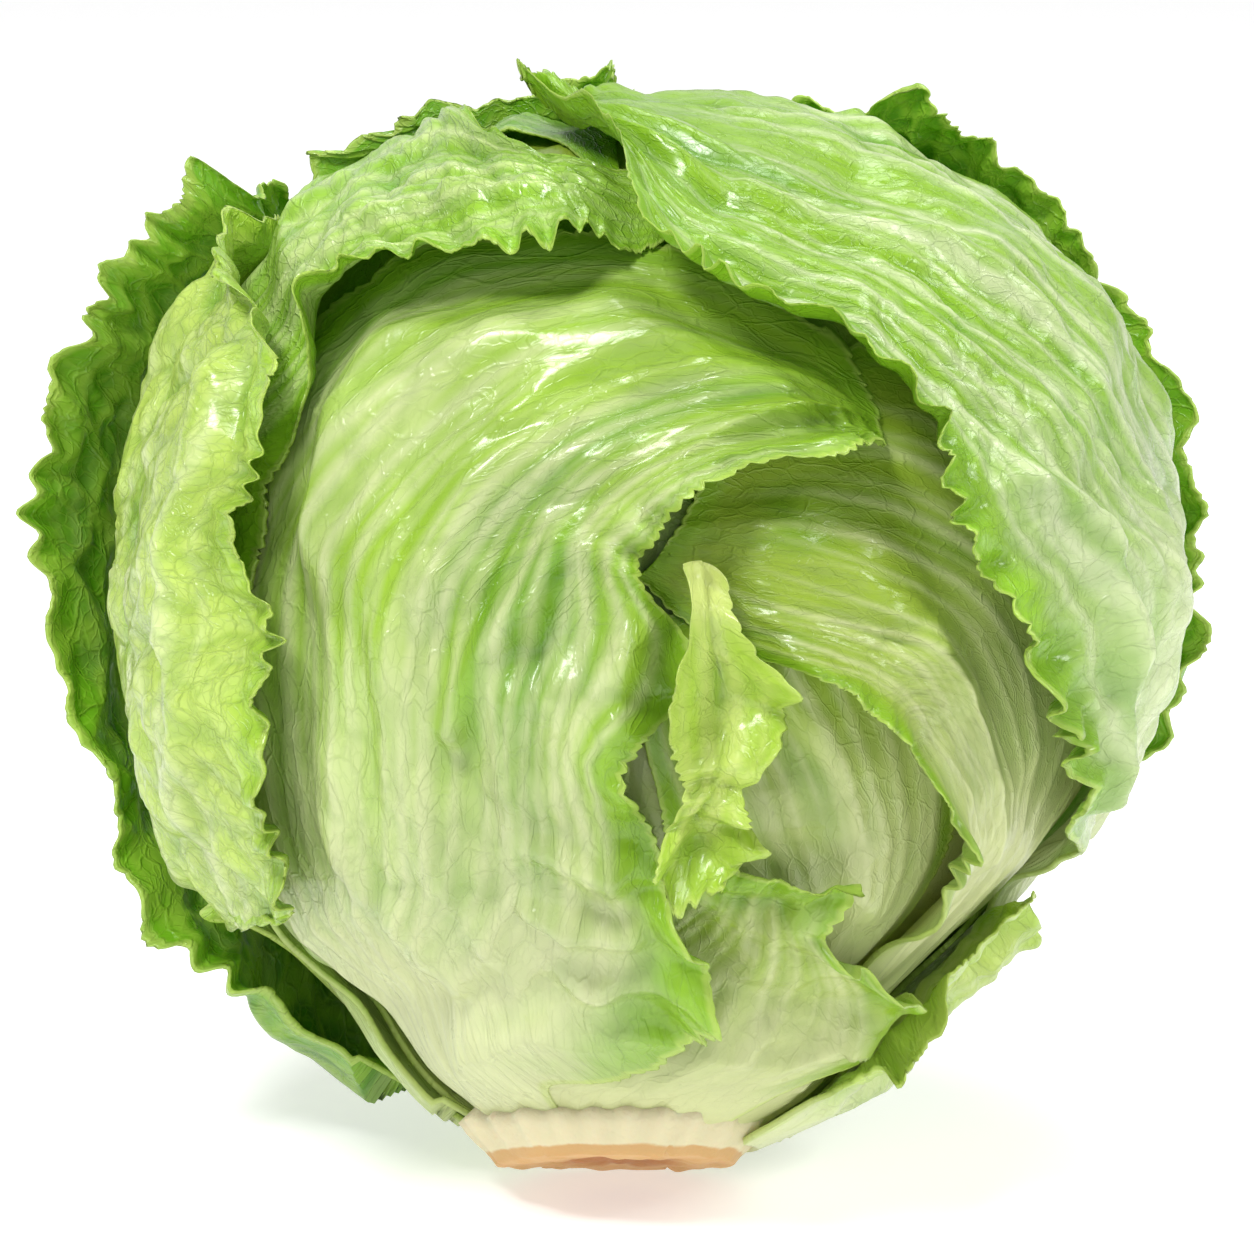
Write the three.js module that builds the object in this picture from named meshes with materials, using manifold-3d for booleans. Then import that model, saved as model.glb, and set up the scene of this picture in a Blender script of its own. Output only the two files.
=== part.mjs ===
import * as THREE from 'three';
import { mergeVertices } from 'three/addons/utils/BufferGeometryUtils.js';
import Module from 'manifold-3d';

// A head of crisphead lettuce: a cut stem, a packed heart and the loose leaves wrapped round it.
// It leans back on the rear rim of its cut stem and on the margins of two outer leaves.

// Driving dimensions, in millimetres and degrees
const STEM_RADIUS = 20;
const STEM_LENGTH = 36;
const STEM_LEAN = 22;
const HEAD_CENTRE = new THREE.Vector3(5.2, 15.1, 85);
const STEM_FACE_CENTRE = new THREE.Vector3(0, -16.84, 5.92);
const HEAD_STRETCH = new THREE.Vector3(1.03, 0.985, 0.985);
const HEART_RADIUS = 71;
const FLAT_SIDE_DEPTH = 7;
const FLAT_SIDE_WIDTH = 38;
const HEART_LEAVES = 7;
const HEART_LEAF_STEP = 1.1;
const GOLDEN_TURN = 137.5;
const NECK_RISE_FRONT = 10.5;
const NECK_RISE_REAR = 3;
const NECK_ANGLE = 14.6;
const SHOULDER_ANGLE = 28;
const BLADE_THICKNESS = 0.9;
const RIB_THICKNESS = 1.5;
const LEAF_GAP = 0.4;
const LEAF_LENGTH = 170;
const UNEVENNESS = 0.8;

// Leaf outlines are set out as they are seen from the front, a little above the head
const VIEW_RISE = 12;
const VIEW_DISTANCE = 750;
const OUTLINE_RADIUS = 79;

// Where a blade's margin, tip and base begin, as shares of its half width and of its length
const MARGIN_START = 0.55;
const TIP_START = 0.82;
const BASE_SPAN = [0.06, 0.3];
const COLUMN_BUNCHING = 1.25;

// Steps of the map that says how far out the head reaches in each direction
const MAP_ROWS = 90;
const MAP_COLUMNS = 180;
const MAP_STEP = 180 / MAP_ROWS;
const BLEND_ANGLE = 3;

const radians = THREE.MathUtils.degToRad;
const smooth = THREE.MathUtils.smoothstep;

// The head's own axes: x to the right, y up and z to the front, as it is seen
const SEEN_RIGHT = new THREE.Vector3(1, 0, 0);
const SEEN_UP = new THREE.Vector3(0, Math.sin(radians(VIEW_RISE)), Math.cos(radians(VIEW_RISE)));
const SEEN_FRONT = new THREE.Vector3(0, -Math.cos(radians(VIEW_RISE)), Math.sin(radians(VIEW_RISE)));

const toStem = STEM_FACE_CENTRE.clone().sub(HEAD_CENTRE);
const STEM_AXIS = new THREE.Vector3(toStem.dot(SEEN_RIGHT), toStem.dot(SEEN_UP), toStem.dot(SEEN_FRONT));
STEM_AXIS.normalize();
const AXIS_FRONT = new THREE.Vector3(0, 0, 1).addScaledVector(STEM_AXIS, -STEM_AXIS.z).normalize();
const AXIS_RIGHT = AXIS_FRONT.clone().cross(STEM_AXIS).normalize();

// A direction from the head's centre, by millimetres to the right and up in the front view
function seen(x, y) {
  const ray = new THREE.Vector3(x, y, -VIEW_DISTANCE).normalize();
  const along = VIEW_DISTANCE * ray.z;
  const reach = along * along - VIEW_DISTANCE ** 2 + OUTLINE_RADIUS ** 2;
  const distance = -along - Math.sqrt(Math.max(reach, 0));
  return ray.multiplyScalar(distance).add(new THREE.Vector3(0, 0, VIEW_DISTANCE)).normalize();
}

// A direction by degrees round to the right from the front, and up
function around(turn, rise) {
  const flat = Math.cos(radians(rise));
  return new THREE.Vector3(flat * Math.sin(radians(turn)), Math.sin(radians(rise)),
    flat * Math.cos(radians(turn)));
}

// A direction by degrees round the stem from the front to the right, and off the stem's axis
function neck(turn, angle = NECK_ANGLE) {
  const side = AXIS_FRONT.clone().multiplyScalar(Math.cos(radians(turn)));
  side.addScaledVector(AXIS_RIGHT, Math.sin(radians(turn)));
  return STEM_AXIS.clone().multiplyScalar(Math.cos(radians(angle)))
    .addScaledVector(side, Math.sin(radians(angle)));
}

function degreesOffStem(direction) {
  return THREE.MathUtils.radToDeg(Math.acos(THREE.MathUtils.clamp(direction.dot(STEM_AXIS), -1, 1)));
}

function degreesRoundStem(direction) {
  return THREE.MathUtils.radToDeg(Math.atan2(direction.dot(AXIS_RIGHT), direction.dot(AXIS_FRONT)));
}

// The point of the part at a radius in a direction
function pointAt(direction, radius) {
  return HEAD_CENTRE.clone()
    .addScaledVector(SEEN_RIGHT, direction.x * radius * HEAD_STRETCH.x)
    .addScaledVector(SEEN_UP, direction.y * radius * HEAD_STRETCH.y)
    .addScaledVector(SEEN_FRONT, direction.z * radius * HEAD_STRETCH.z);
}

// The radius at which a direction meets the floor, where it points down
function floorRadius(direction) {
  const fall = HEAD_CENTRE.z - pointAt(direction, 1).z;
  return fall > 0 ? HEAD_CENTRE.z / fall : Infinity;
}

// A value for each direction, on rows of equal angle off the stem
class DirectionMap {
  constructor() {
    this.cells = new Float32Array(MAP_ROWS * MAP_COLUMNS);
  }

  place(direction) {
    const row = degreesOffStem(direction) / MAP_STEP - 0.5;
    const column = (degreesRoundStem(direction) + 180) / MAP_STEP - 0.5;
    return [THREE.MathUtils.clamp(row, 0, MAP_ROWS - 1), column];
  }

  cell(row, column) {
    return this.cells[row * MAP_COLUMNS + ((column % MAP_COLUMNS) + MAP_COLUMNS) % MAP_COLUMNS];
  }

  raise(direction, value) {
    const [row, column] = this.place(direction);
    const turned = ((Math.round(column) % MAP_COLUMNS) + MAP_COLUMNS) % MAP_COLUMNS;
    const index = Math.round(row) * MAP_COLUMNS + turned;
    this.cells[index] = Math.max(this.cells[index], value);
  }

  at(direction) {
    const [row, column] = this.place(direction);
    const [low, left] = [Math.floor(row), Math.floor(column)];
    const high = Math.min(low + 1, MAP_ROWS - 1);
    const near = THREE.MathUtils.lerp(this.cell(low, left), this.cell(low, left + 1), column - left);
    const far = THREE.MathUtils.lerp(this.cell(high, left), this.cell(high, left + 1), column - left);
    return THREE.MathUtils.lerp(near, far, row - low);
  }

  // The map with each cell taken from all cells within an angle: their largest value or their mean
  spread(angle, largest) {
    const result = new DirectionMap();
    for (let row = 0; row < MAP_ROWS; row++) {
      const here = radians((row + 0.5) * MAP_STEP);
      const bands = [];
      for (let other = 0; other < MAP_ROWS; other++) {
        const there = radians((other + 0.5) * MAP_STEP);
        if (Math.abs(there - here) > radians(angle)) continue;
        const bound = (Math.cos(radians(angle)) - Math.cos(here) * Math.cos(there))
          / (Math.sin(here) * Math.sin(there));
        const half = THREE.MathUtils.radToDeg(Math.acos(THREE.MathUtils.clamp(bound, -1, 1)));
        const columns = Math.min(Math.floor(half / MAP_STEP), MAP_COLUMNS / 2 - 1);
        bands.push({ other, columns, share: Math.sin(there) });
      }
      for (let column = 0; column < MAP_COLUMNS; column++) {
        let [most, sum, weight] = [0, 0, 0];
        for (const { other, columns, share } of bands) {
          for (let step = -columns; step <= columns; step++) {
            const value = this.cell(other, column + step);
            most = Math.max(most, value);
            sum += value * share;
            weight += share;
          }
        }
        result.cells[row * MAP_COLUMNS + column] = largest ? most : sum / weight;
      }
    }
    return result;
  }
}

// The loose leaves, from the heart outwards. Each row gives the blade's left edge, middle and right
// edge, from the base to the tip. `flare` is how far the left and right edges stand off the head,
// and `ruffle` is the height of the waves along the left edge, the right edge and the tip.
const LEAVES = [
  {
    name: 'inner_leaf', colour: '#cfe08f', cells: [10, 8], lobes: 0.5,
    ruffle: [0, 0, 0], flare: [0, 0],
    rows: [
      [neck(20, 22), neck(38, 22), neck(56, 22)],
      [seen(8, -60), seen(28, -55), seen(47, -47)],
      [seen(2, -42), seen(26, -36), seen(48, -26)],
      [seen(-2, -24), seen(18, -16), seen(40, -5)],
      [seen(-2, -6), seen(10, 0), seen(24, 12)],
    ],
    folds: [{ path: [seen(36, -60), seen(26, -40), seen(12, -18)], width: 5, height: 1.2 }],
  },
  {
    name: 'wide_inner_leaf', colour: '#c6dc7f', cells: [20, 12], lobes: 1.2,
    ruffle: [3, 0.5, 2], flare: [2.5, 0],
    rows: [
      [neck(48, 19), neck(62, 19), neck(78, 19)],
      [seen(38, -57), seen(47, -52), seen(58, -47)],
      [seen(43, -40), seen(54, -36), seen(66, -30)],
      [seen(38, -29), seen(52, -22), seen(67, -10)],
      [seen(30, -18), seen(44, -9), seen(60, 8)],
      [seen(22, -13), seen(34, -1), seen(46, 22)],
      [seen(10, -9), seen(19, 6), seen(28, 28)],
      [seen(-3, 2), seen(3, 10), seen(8, 22)],
    ],
    folds: [
      { path: [seen(54, -44), seen(50, -20), seen(32, 0), seen(10, 16)], width: 3.5, height: 1.8 },
      { path: [seen(46, -44), seen(40, -28), seen(30, -15), seen(18, -7)], width: 3, height: 2.2 },
    ],
  },
  {
    name: 'curled_inner_leaf', colour: '#bfe06a', cells: [14, 6], lobes: 2.2,
    ruffle: [3, 3, 2], flare: [1.5, 1.5],
    rows: [
      [seen(6, -60), seen(10, -59), seen(14, -58)],
      [seen(3, -47), seen(8, -46), seen(13, -45)],
      [seen(-1, -38), seen(7, -37), seen(16, -38)],
      [seen(3, -28), seen(8, -27), seen(12, -28)],
      [seen(4, -20), seen(10, -19), seen(17, -19)],
      [seen(4, -10), seen(10, -9), seen(16, -10)],
      [seen(5, 1), seen(8, 1), seen(12, -1)],
    ],
    folds: [],
  },
  {
    name: 'small_front_leaf', colour: '#d3e394', cells: [14, 12], lobes: 1.6,
    ruffle: [2, 1.2, 1.5], flare: [0.5, 0.5],
    rows: [
      [neck(-4), neck(24), neck(60)],
      [seen(2, -69), seen(9, -69), seen(24, -73)],
      [seen(5, -60), seen(14, -62), seen(37, -68)],
      [seen(4, -52), seen(19, -55), seen(41, -63)],
      [seen(5, -47), seen(21, -49), seen(33, -53)],
      [seen(12, -43), seen(21, -43), seen(28, -46)],
    ],
    folds: [
      { path: [seen(4, -73), seen(13, -62), seen(21, -50)], width: 2.5, height: 1.6 },
      { path: [seen(21, -48), seen(29, -55), seen(40, -63)], width: 3.5, height: 2.2 },
    ],
  },
  {
    name: 'front_leaf', colour: '#a9cf55', cells: [27, 14], lobes: 1.8,
    ruffle: [0, 3.4, 3], flare: [0, 2],
    rows: [
      [neck(-66), neck(-36), neck(-6)],
      [seen(-44, -62), seen(-25, -63), seen(1, -70)],
      [seen(-60, -46), seen(-34, -49), seen(8, -60)],
      [seen(-67, -27), seen(-40, -31), seen(1, -45)],
      [seen(-69, -7), seen(-41, -13), seen(3, -26)],
      [seen(-66, 12), seen(-38, 4), seen(5, -6)],
      [seen(-58, 33), seen(-28, 20), seen(0, 8)],
      [seen(-38, 52), seen(-10, 33), seen(13, 14)],
      [seen(0, 56), seen(15, 36), seen(27, 19)],
      [seen(34, 36), seen(35, 29), seen(36, 23)],
    ],
    folds: [
      { path: [seen(-12, -72), seen(-34, -40), seen(-38, -8), seen(-26, 14), seen(-2, 25), seen(18, 30)],
        width: 4, height: 2.6 },
      { path: [seen(-30, -64), seen(-52, -36), seen(-56, -4), seen(-46, 24), seen(-24, 38), seen(8, 40)],
        width: 4, height: 2.2 },
      { path: [seen(-4, -66), seen(-18, -42), seen(-20, -18), seen(-6, -12), seen(4, -6)],
        width: 4, height: 2.8 },
      { path: [seen(-22, -30), seen(-22, -8), seen(-12, 4), seen(-2, 8)], width: 3.5, height: 2.2 },
    ],
  },
  {
    name: 'back_leaf_right', colour: '#8fc046', cells: [18, 12], lobes: 1.5,
    ruffle: [1.5, 2, 2.5], flare: [0, 0],
    rows: [
      [neck(106, 24), neck(140, 24), neck(176, 24)],
      [around(92, -48), around(124, -52), around(168, -52)],
      [around(88, -18), around(128, -20), around(172, -18)],
      [around(86, 14), around(130, 14), around(176, 16)],
      [around(80, 42), around(130, 46), around(-174, 50)],
      [around(60, 66), around(120, 74), around(-168, 78)],
    ],
    folds: [{ path: [around(150, -60), around(130, -10), around(128, 50)], width: 5, height: 2.5 }],
  },
  {
    name: 'back_leaf_left', colour: '#86ba3e', cells: [20, 15], lobes: 1.5,
    ruffle: [2.5, 0.4, 2.5], flare: [1, 0],
    rows: [
      [neck(188, 24), neck(222, 24), neck(258, 24)],
      [around(-172, -50), around(-132, -52), around(-94, -46)],
      [around(-170, -18), around(-130, -18), around(-92, -16)],
      [around(-172, 16), around(-130, 16), around(-88, 16)],
      [around(-176, 48), around(-128, 48), around(-76, 46)],
      [around(170, 76), around(-110, 76), around(-44, 68)],
      [around(120, 84), around(-20, 84), around(-20, 72)],
    ],
    folds: [{ path: [around(-150, -60), around(-132, -10), around(-124, 50)], width: 5, height: 2.5 }],
  },
  {
    name: 'upper_left_leaf', colour: '#84bd3a', cells: [26, 10], lobes: 2.2,
    ruffle: [0, 3.2, 2.5], flare: [0, 2.2],
    rows: [
      [neck(-116, 26), neck(-98, 24), neck(-78, 22)],
      [around(-98, -44), around(-82, -44), seen(-56, -44)],
      [around(-102, -12), around(-84, -12), seen(-66, -10)],
      [around(-104, 16), around(-82, 14), seen(-61, 12)],
      [around(-106, 40), seen(-64, 40), seen(-54, 28)],
      [around(-110, 58), seen(-50, 55), seen(-42, 45)],
      [around(-100, 66), seen(-34, 63), seen(-30, 47)],
      [seen(-22, 71), seen(-19, 64), seen(-16, 49)],
      [seen(-4, 68), seen(-4, 62), seen(-4, 52)],
      [seen(5, 66), seen(4, 62), seen(2, 57)],
    ],
    folds: [
      { path: [around(-84, -30), around(-80, 10), seen(-60, 42), seen(-42, 57), seen(-22, 60), seen(0, 60)],
        width: 4, height: 2.4 },
      { path: [seen(-56, 24), seen(-47, 40), seen(-38, 50)], width: 3, height: 2 },
    ],
  },
  {
    name: 'right_leaf', colour: '#93c544', cells: [28, 13], lobes: 2.4,
    ruffle: [3.6, 0.5, 2.5], flare: [2.6, 0],
    rows: [
      [neck(78, 24), neck(102, 22), neck(130, 24)],
      [seen(63, -50), seen(73, -40), around(106, -40)],
      [seen(61, -36), seen(79, -22), around(114, -16)],
      [seen(56, -24), seen(81, -6), around(116, 2)],
      [seen(50, -9), seen(79, 8), around(116, 16)],
      [seen(44, 4), seen(74, 21), around(115, 29)],
      [seen(40, 16), seen(66, 35), around(114, 42)],
      [seen(34, 25), seen(54, 47), around(113, 53)],
      [seen(24, 36), seen(42, 56), around(114, 64)],
      [seen(10, 42), seen(28, 62), around(124, 74)],
      [seen(-2, 50), seen(12, 68), around(160, 81)],
      [seen(-6, 66), seen(-5, 73), around(-120, 82)],
      [seen(-19, 74), seen(-17, 76), seen(-15, 79)],
    ],
    folds: [
      { path: [seen(70, -42), seen(77, -14), seen(72, 18), seen(52, 46), seen(20, 64), seen(-10, 74)],
        width: 3.5, height: 2.6 },
      { path: [seen(64, -30), seen(66, -6), seen(62, 10), seen(54, 15)], width: 3.5, height: 3.2 },
      { path: [around(100, -30), around(102, 10), around(98, 44), around(100, 70)], width: 4, height: 2 },
      { path: [seen(60, 22), seen(44, 38), seen(18, 50), seen(0, 54)], width: 4, height: 1.8 },
    ],
  },
  {
    name: 'left_leaf', colour: '#9ccb4d', cells: [26, 12], lobes: 2.6,
    ruffle: [0, 3.2, 2.5], flare: [0, 2.4],
    rows: [
      [neck(-150, 20), neck(-125, 18), neck(-96, 17)],
      [around(-128, -52), around(-108, -50), seen(-63, -56)],
      [around(-126, -36), around(-104, -36), seen(-54, -53)],
      [around(-126, -20), around(-100, -22), seen(-54, -36)],
      [around(-126, -4), around(-98, -8), seen(-54, -18)],
      [around(-126, 10), around(-96, 4), seen(-55, -4)],
      [around(-124, 22), around(-95, 14), seen(-63, 9)],
      [around(-122, 34), around(-93, 26), seen(-60, 22)],
      [around(-116, 44), around(-92, 36), seen(-56, 36)],
      [around(-104, 46), around(-92, 42), seen(-56, 48)],
    ],
    folds: [
      { path: [around(-104, -40), around(-96, -8), around(-92, 20), around(-88, 38)], width: 4, height: 2 },
      { path: [seen(-68, -44), seen(-67, -22), seen(-69, -4), seen(-66, 18), seen(-61, 36)],
        width: 3.5, height: 2.2 },
    ],
  },
  {
    name: 'lower_right_leaf', colour: '#b9d86a', cells: [16, 10], lobes: 2.0,
    ruffle: [1, 0.5, 1.5], flare: [0, 0],
    rows: [
      [neck(80, 18), neck(94, 18), neck(108, 18)],
      [around(96, -70), around(109, -69), around(122, -67)],
      [around(93, -62), around(107, -60), around(122, -57)],
      [around(91, -53), around(106, -51), around(120, -49)],
      [around(91, -45), around(103, -44), around(114, -42)],
      [around(90, -38), around(98, -37), around(106, -37)],
    ],
    folds: [{ path: [neck(86, 20), around(98, -60), around(98, -42)], width: 4, height: 1.2 }],
  },
  {
    name: 'outer_leaf_right', colour: '#7fb935', cells: [22, 9], lobes: 3.0,
    ruffle: [3.5, 1, 2.5], flare: [2, 0],
    rows: [
      [neck(140, 17), neck(153, 16), neck(168, 17)],
      [around(140, -54), around(153, -55), around(171, -54)],
      [around(116, -30), around(138, -30), around(168, -28)],
      [around(103, -10), around(130, -8), around(164, -4)],
      [around(102, 12), around(130, 14), around(164, 18)],
      [around(102, 32), around(130, 36), around(168, 40)],
      [around(96, 50), around(130, 56), around(176, 58)],
      [around(84, 62), around(130, 74), around(-172, 74)],
    ],
    folds: [
      { path: [around(134, -60), around(128, -10), around(130, 56)], width: 5, height: 2.6 },
      { path: [neck(150, 36), neck(164, 33)], width: 6, height: 7 },
    ],
  },
  {
    name: 'outer_leaf_top', colour: '#6fae2b', cells: [22, 10], lobes: 2.8,
    ruffle: [2, 2.5, 3], flare: [0, 0.5],
    rows: [
      [neck(170, 17), neck(182, 16), neck(195, 17)],
      [around(166, -50), around(-172, -52), around(-152, -52)],
      [around(164, -14), around(-164, -14), around(-132, -14)],
      [around(162, 20), around(-162, 20), around(-124, 20)],
      [around(164, 52), around(-152, 54), around(-112, 38)],
      [around(-172, 72), around(-124, 70), around(-102, 50)],
      [around(-110, 84), around(-108, 74), around(-102, 62)],
    ],
    folds: [{ path: [around(-166, -56), around(-162, 10), around(-136, 60)], width: 5, height: 2.8 }],
  },
  {
    name: 'outer_leaf_left', colour: '#5fa324', cells: [28, 10], lobes: 3.2,
    ruffle: [1, 4, 3], flare: [0, 8],
    flaredBy: 0.85,
    rows: [
      [neck(-144, 17), neck(-118, 15), neck(-94, 15)],
      [around(-143, -60), around(-117, -66), around(-92, -67)],
      [around(-148, -44), around(-120, -50), around(-92, -52)],
      [around(-146, -28), around(-120, -34), around(-90, -38)],
      [around(-144, -12), around(-120, -18), around(-92, -22)],
      [around(-144, 4), around(-120, -2), around(-92, -4)],
      [around(-142, 18), around(-118, 14), around(-92, 12)],
      [around(-136, 32), around(-114, 28), around(-92, 26)],
      [around(-124, 42), around(-108, 38), around(-91, 36)],
      [around(-106, 48), around(-98, 46), around(-90, 44)],
    ],
    folds: [
      { path: [neck(-124, 20), around(-120, -40), around(-120, 4), around(-108, 34)],
        width: 4, height: 2.8 },
      { path: [neck(-140, 34), neck(-116, 40)], width: 8, height: 7 },
    ],
  },
];

// The direction on a blade: along from base 0 to tip 1, across from the left edge -1 to the right 1
function bladeDirection(curves, along, across) {
  const [left, middle, right] = curves.map((curve) => curve.getPoint(along));
  return left.multiplyScalar((across * (across - 1)) / 2)
    .addScaledVector(middle, 1 - across * across)
    .addScaledVector(right, (across * (across + 1)) / 2)
    .normalize();
}

// How far a direction lies from a fold's line, in millimetres on the head
function distanceTo(path, direction) {
  const nearest = new THREE.Vector3();
  let least = Infinity;
  for (let i = 1; i < path.length; i++) {
    new THREE.Line3(path[i - 1], path[i]).closestPointToPoint(direction, true, nearest);
    least = Math.min(least, nearest.distanceTo(direction));
  }
  return least * OUTLINE_RADIUS;
}

// Uneven waves between -1 and 1 along a margin
function waves(distance, seed) {
  return 0.6 * Math.sin(distance * 0.42 + seed * 1.7) + 0.4 * Math.sin(distance * 0.83 + seed * 4.1);
}

// How free a blade is to ruffle: 1 where no later leaf lies over it, and 0 under one
function freedomUnder(coverings) {
  const covered = new DirectionMap();
  for (const curves of coverings) {
    for (let i = 0; i <= 90; i++) {
      for (let j = 0; j <= 60; j++) covered.raise(bladeDirection(curves, i / 90, j / 30 - 1), 1);
    }
  }
  return covered.spread(3, true).spread(4, false);
}

// The angle within which a blade's cells lie: its faces stay clear of what that angle holds
function spacing(curves, rows, columns) {
  let widest = 0;
  for (let row = 0; row < rows; row++) {
    for (const across of [-1, -0.2, 0.2, 1 - 2 / columns]) {
      const from = bladeDirection(curves, row / rows, across);
      const to = bladeDirection(curves, (row + 1) / rows, across + 2 / columns);
      widest = Math.max(widest, THREE.MathUtils.radToDeg(from.angleTo(to)));
    }
  }
  return MAP_STEP + 0.65 * widest;
}

// The direction of a point on a blade, with its margin cut into lobes away from the base
function lobedDirection(leaf, curves, seed, along, across) {
  const side = across < 0 ? 0 : 1;
  const margin = smooth(Math.abs(across), MARGIN_START, 1);
  const tip = smooth(along, TIP_START, 1);
  const half = bladeDirection(curves, along, 0).distanceTo(bladeDirection(curves, along, 1));
  const cut = leaf.lobes * smooth(along, ...BASE_SPAN) * waves(along * LEAF_LENGTH * 1.6, seed + side);
  const wide = across * (1 + (cut * margin) / (half * OUTLINE_RADIUS + 4));
  const long = along + (leaf.lobes * tip * waves(across * 40, seed + 7)) / LEAF_LENGTH;
  return bladeDirection(curves, THREE.MathUtils.clamp(long, 0, 1), wide);
}

// How far a free blade stands off what it lies on: its ruffled margin, its folds and its flare
function standOff(leaf, seed, along, across, direction) {
  const side = across < 0 ? 0 : 1;
  const length = along * LEAF_LENGTH;
  const fromBase = smooth(along, ...BASE_SPAN);
  const margin = smooth(Math.abs(across), MARGIN_START, 1);
  const tip = smooth(along, TIP_START, 1);
  const edgeRuffle = leaf.ruffle[side] * margin * fromBase * (0.5 + 0.5 * waves(length, seed + 3 * side));
  const tipRuffle = leaf.ruffle[2] * tip * (0.5 + 0.5 * waves(across * 60, seed + 9));
  const uneven = UNEVENNESS * fromBase * (0.5 + 0.5 * waves(length * 0.5, seed));
  const flaredFrom = smooth(along, BASE_SPAN[0], leaf.flaredBy ?? BASE_SPAN[1]);
  let height = Math.max(edgeRuffle, tipRuffle) + uneven;
  height += leaf.flare[side] * Math.abs(across) ** 1.6 * flaredFrom;
  for (const { path, width, height: raised } of leaf.folds) {
    height += raised * Math.exp(-((distanceTo(path, direction) / width) ** 2));
  }
  return height;
}

// One blade as a closed solid over all that lies inside it; it raises the map to its own outside
function leafGeometry(leaf, curves, seed, reach, covered) {
  const [rows, columns] = leaf.cells;
  const held = reach.spread(spacing(curves, rows, columns) + BLEND_ANGLE, true);
  const clear = held.spread(BLEND_ANGLE, false);
  const [outer, inner] = [[], []];
  for (let row = 0; row <= rows; row++) {
    const along = row / rows;
    for (let column = 0; column <= columns; column++) {
      const step = (2 * column) / columns - 1;
      const across = Math.sign(step) * (1 - (1 - Math.abs(step)) ** COLUMN_BUNCHING);
      const direction = lobedDirection(leaf, curves, seed, along, across);
      const thickness = BLADE_THICKNESS + (RIB_THICKNESS - BLADE_THICKNESS) * (1 - along) ** 2;
      const lift = standOff(leaf, seed, along, across, direction) * (1 - covered.at(direction));
      const lifted = clear.at(direction) + LEAF_GAP + lift + thickness;
      const top = Math.min(lifted, floorRadius(direction));
      inner.push(pointAt(direction, top - thickness));
      outer.push(pointAt(direction, top));
    }
  }
  raiseMap(reach, outer, rows, columns);
  return closedBlade(outer, inner, rows, columns);
}

// Raises the map to a blade's outer face
function raiseMap(reach, outer, rows, columns) {
  const headward = outer.map((point) => {
    const offset = point.clone().sub(HEAD_CENTRE);
    return new THREE.Vector3(offset.dot(SEEN_RIGHT) / HEAD_STRETCH.x, offset.dot(SEEN_UP) / HEAD_STRETCH.y,
      offset.dot(SEEN_FRONT) / HEAD_STRETCH.z);
  });
  const parts = 6;
  for (let row = 0; row < rows; row++) {
    for (let column = 0; column < columns; column++) {
      const first = row * (columns + 1) + column;
      const corners = [first, first + 1, first + columns + 1, first + columns + 2].map((i) => headward[i]);
      for (let i = 0; i <= parts; i++) {
        for (let j = 0; j <= parts; j++) {
          const near = corners[0].clone().lerp(corners[1], j / parts);
          const far = corners[2].clone().lerp(corners[3], j / parts);
          const point = near.lerp(far, i / parts);
          reach.raise(point.clone().normalize(), point.length());
        }
      }
    }
  }
}

// Both faces of a blade, split alike, and the rim between them
function closedBlade(outer, inner, rows, columns) {
  const points = [...outer, ...inner];
  const offset = outer.length;
  const at = (row, column) => row * (columns + 1) + column;
  const triangles = [];
  for (let row = 0; row < rows; row++) {
    for (let column = 0; column < columns; column++) {
      const [a, b] = [at(row, column), at(row, column + 1)];
      const [c, d] = [at(row + 1, column + 1), at(row + 1, column)];
      triangles.push([a, b, c], [a, c, d]);
      triangles.push([a + offset, c + offset, b + offset], [a + offset, d + offset, c + offset]);
    }
  }
  const rim = [];
  for (let column = 0; column < columns; column++) rim.push(at(0, column));
  for (let row = 0; row < rows; row++) rim.push(at(row, columns));
  for (let column = columns; column > 0; column--) rim.push(at(rows, column));
  for (let row = rows; row > 0; row--) rim.push(at(row, 0));
  rim.forEach((from, i) => {
    const to = rim[(i + 1) % rim.length];
    triangles.push([from, from + offset, to + offset], [from, to + offset, to]);
  });
  return facingOut(points, triangles);
}

// A geometry whose triangles are turned so that it encloses a positive volume
function facingOut(points, triangles) {
  let volume = 0;
  for (const [a, b, c] of triangles) {
    volume += points[a].dot(points[b].clone().cross(points[c]));
  }
  const index = triangles.flatMap(([a, b, c]) => (volume > 0 ? [a, b, c] : [a, c, b]));
  const geometry = new THREE.BufferGeometry();
  const flat = points.flatMap((point) => point.toArray());
  geometry.setAttribute('position', new THREE.Float32BufferAttribute(flat, 3));
  geometry.setIndex(index);
  geometry.computeVertexNormals();
  return geometry;
}

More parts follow.
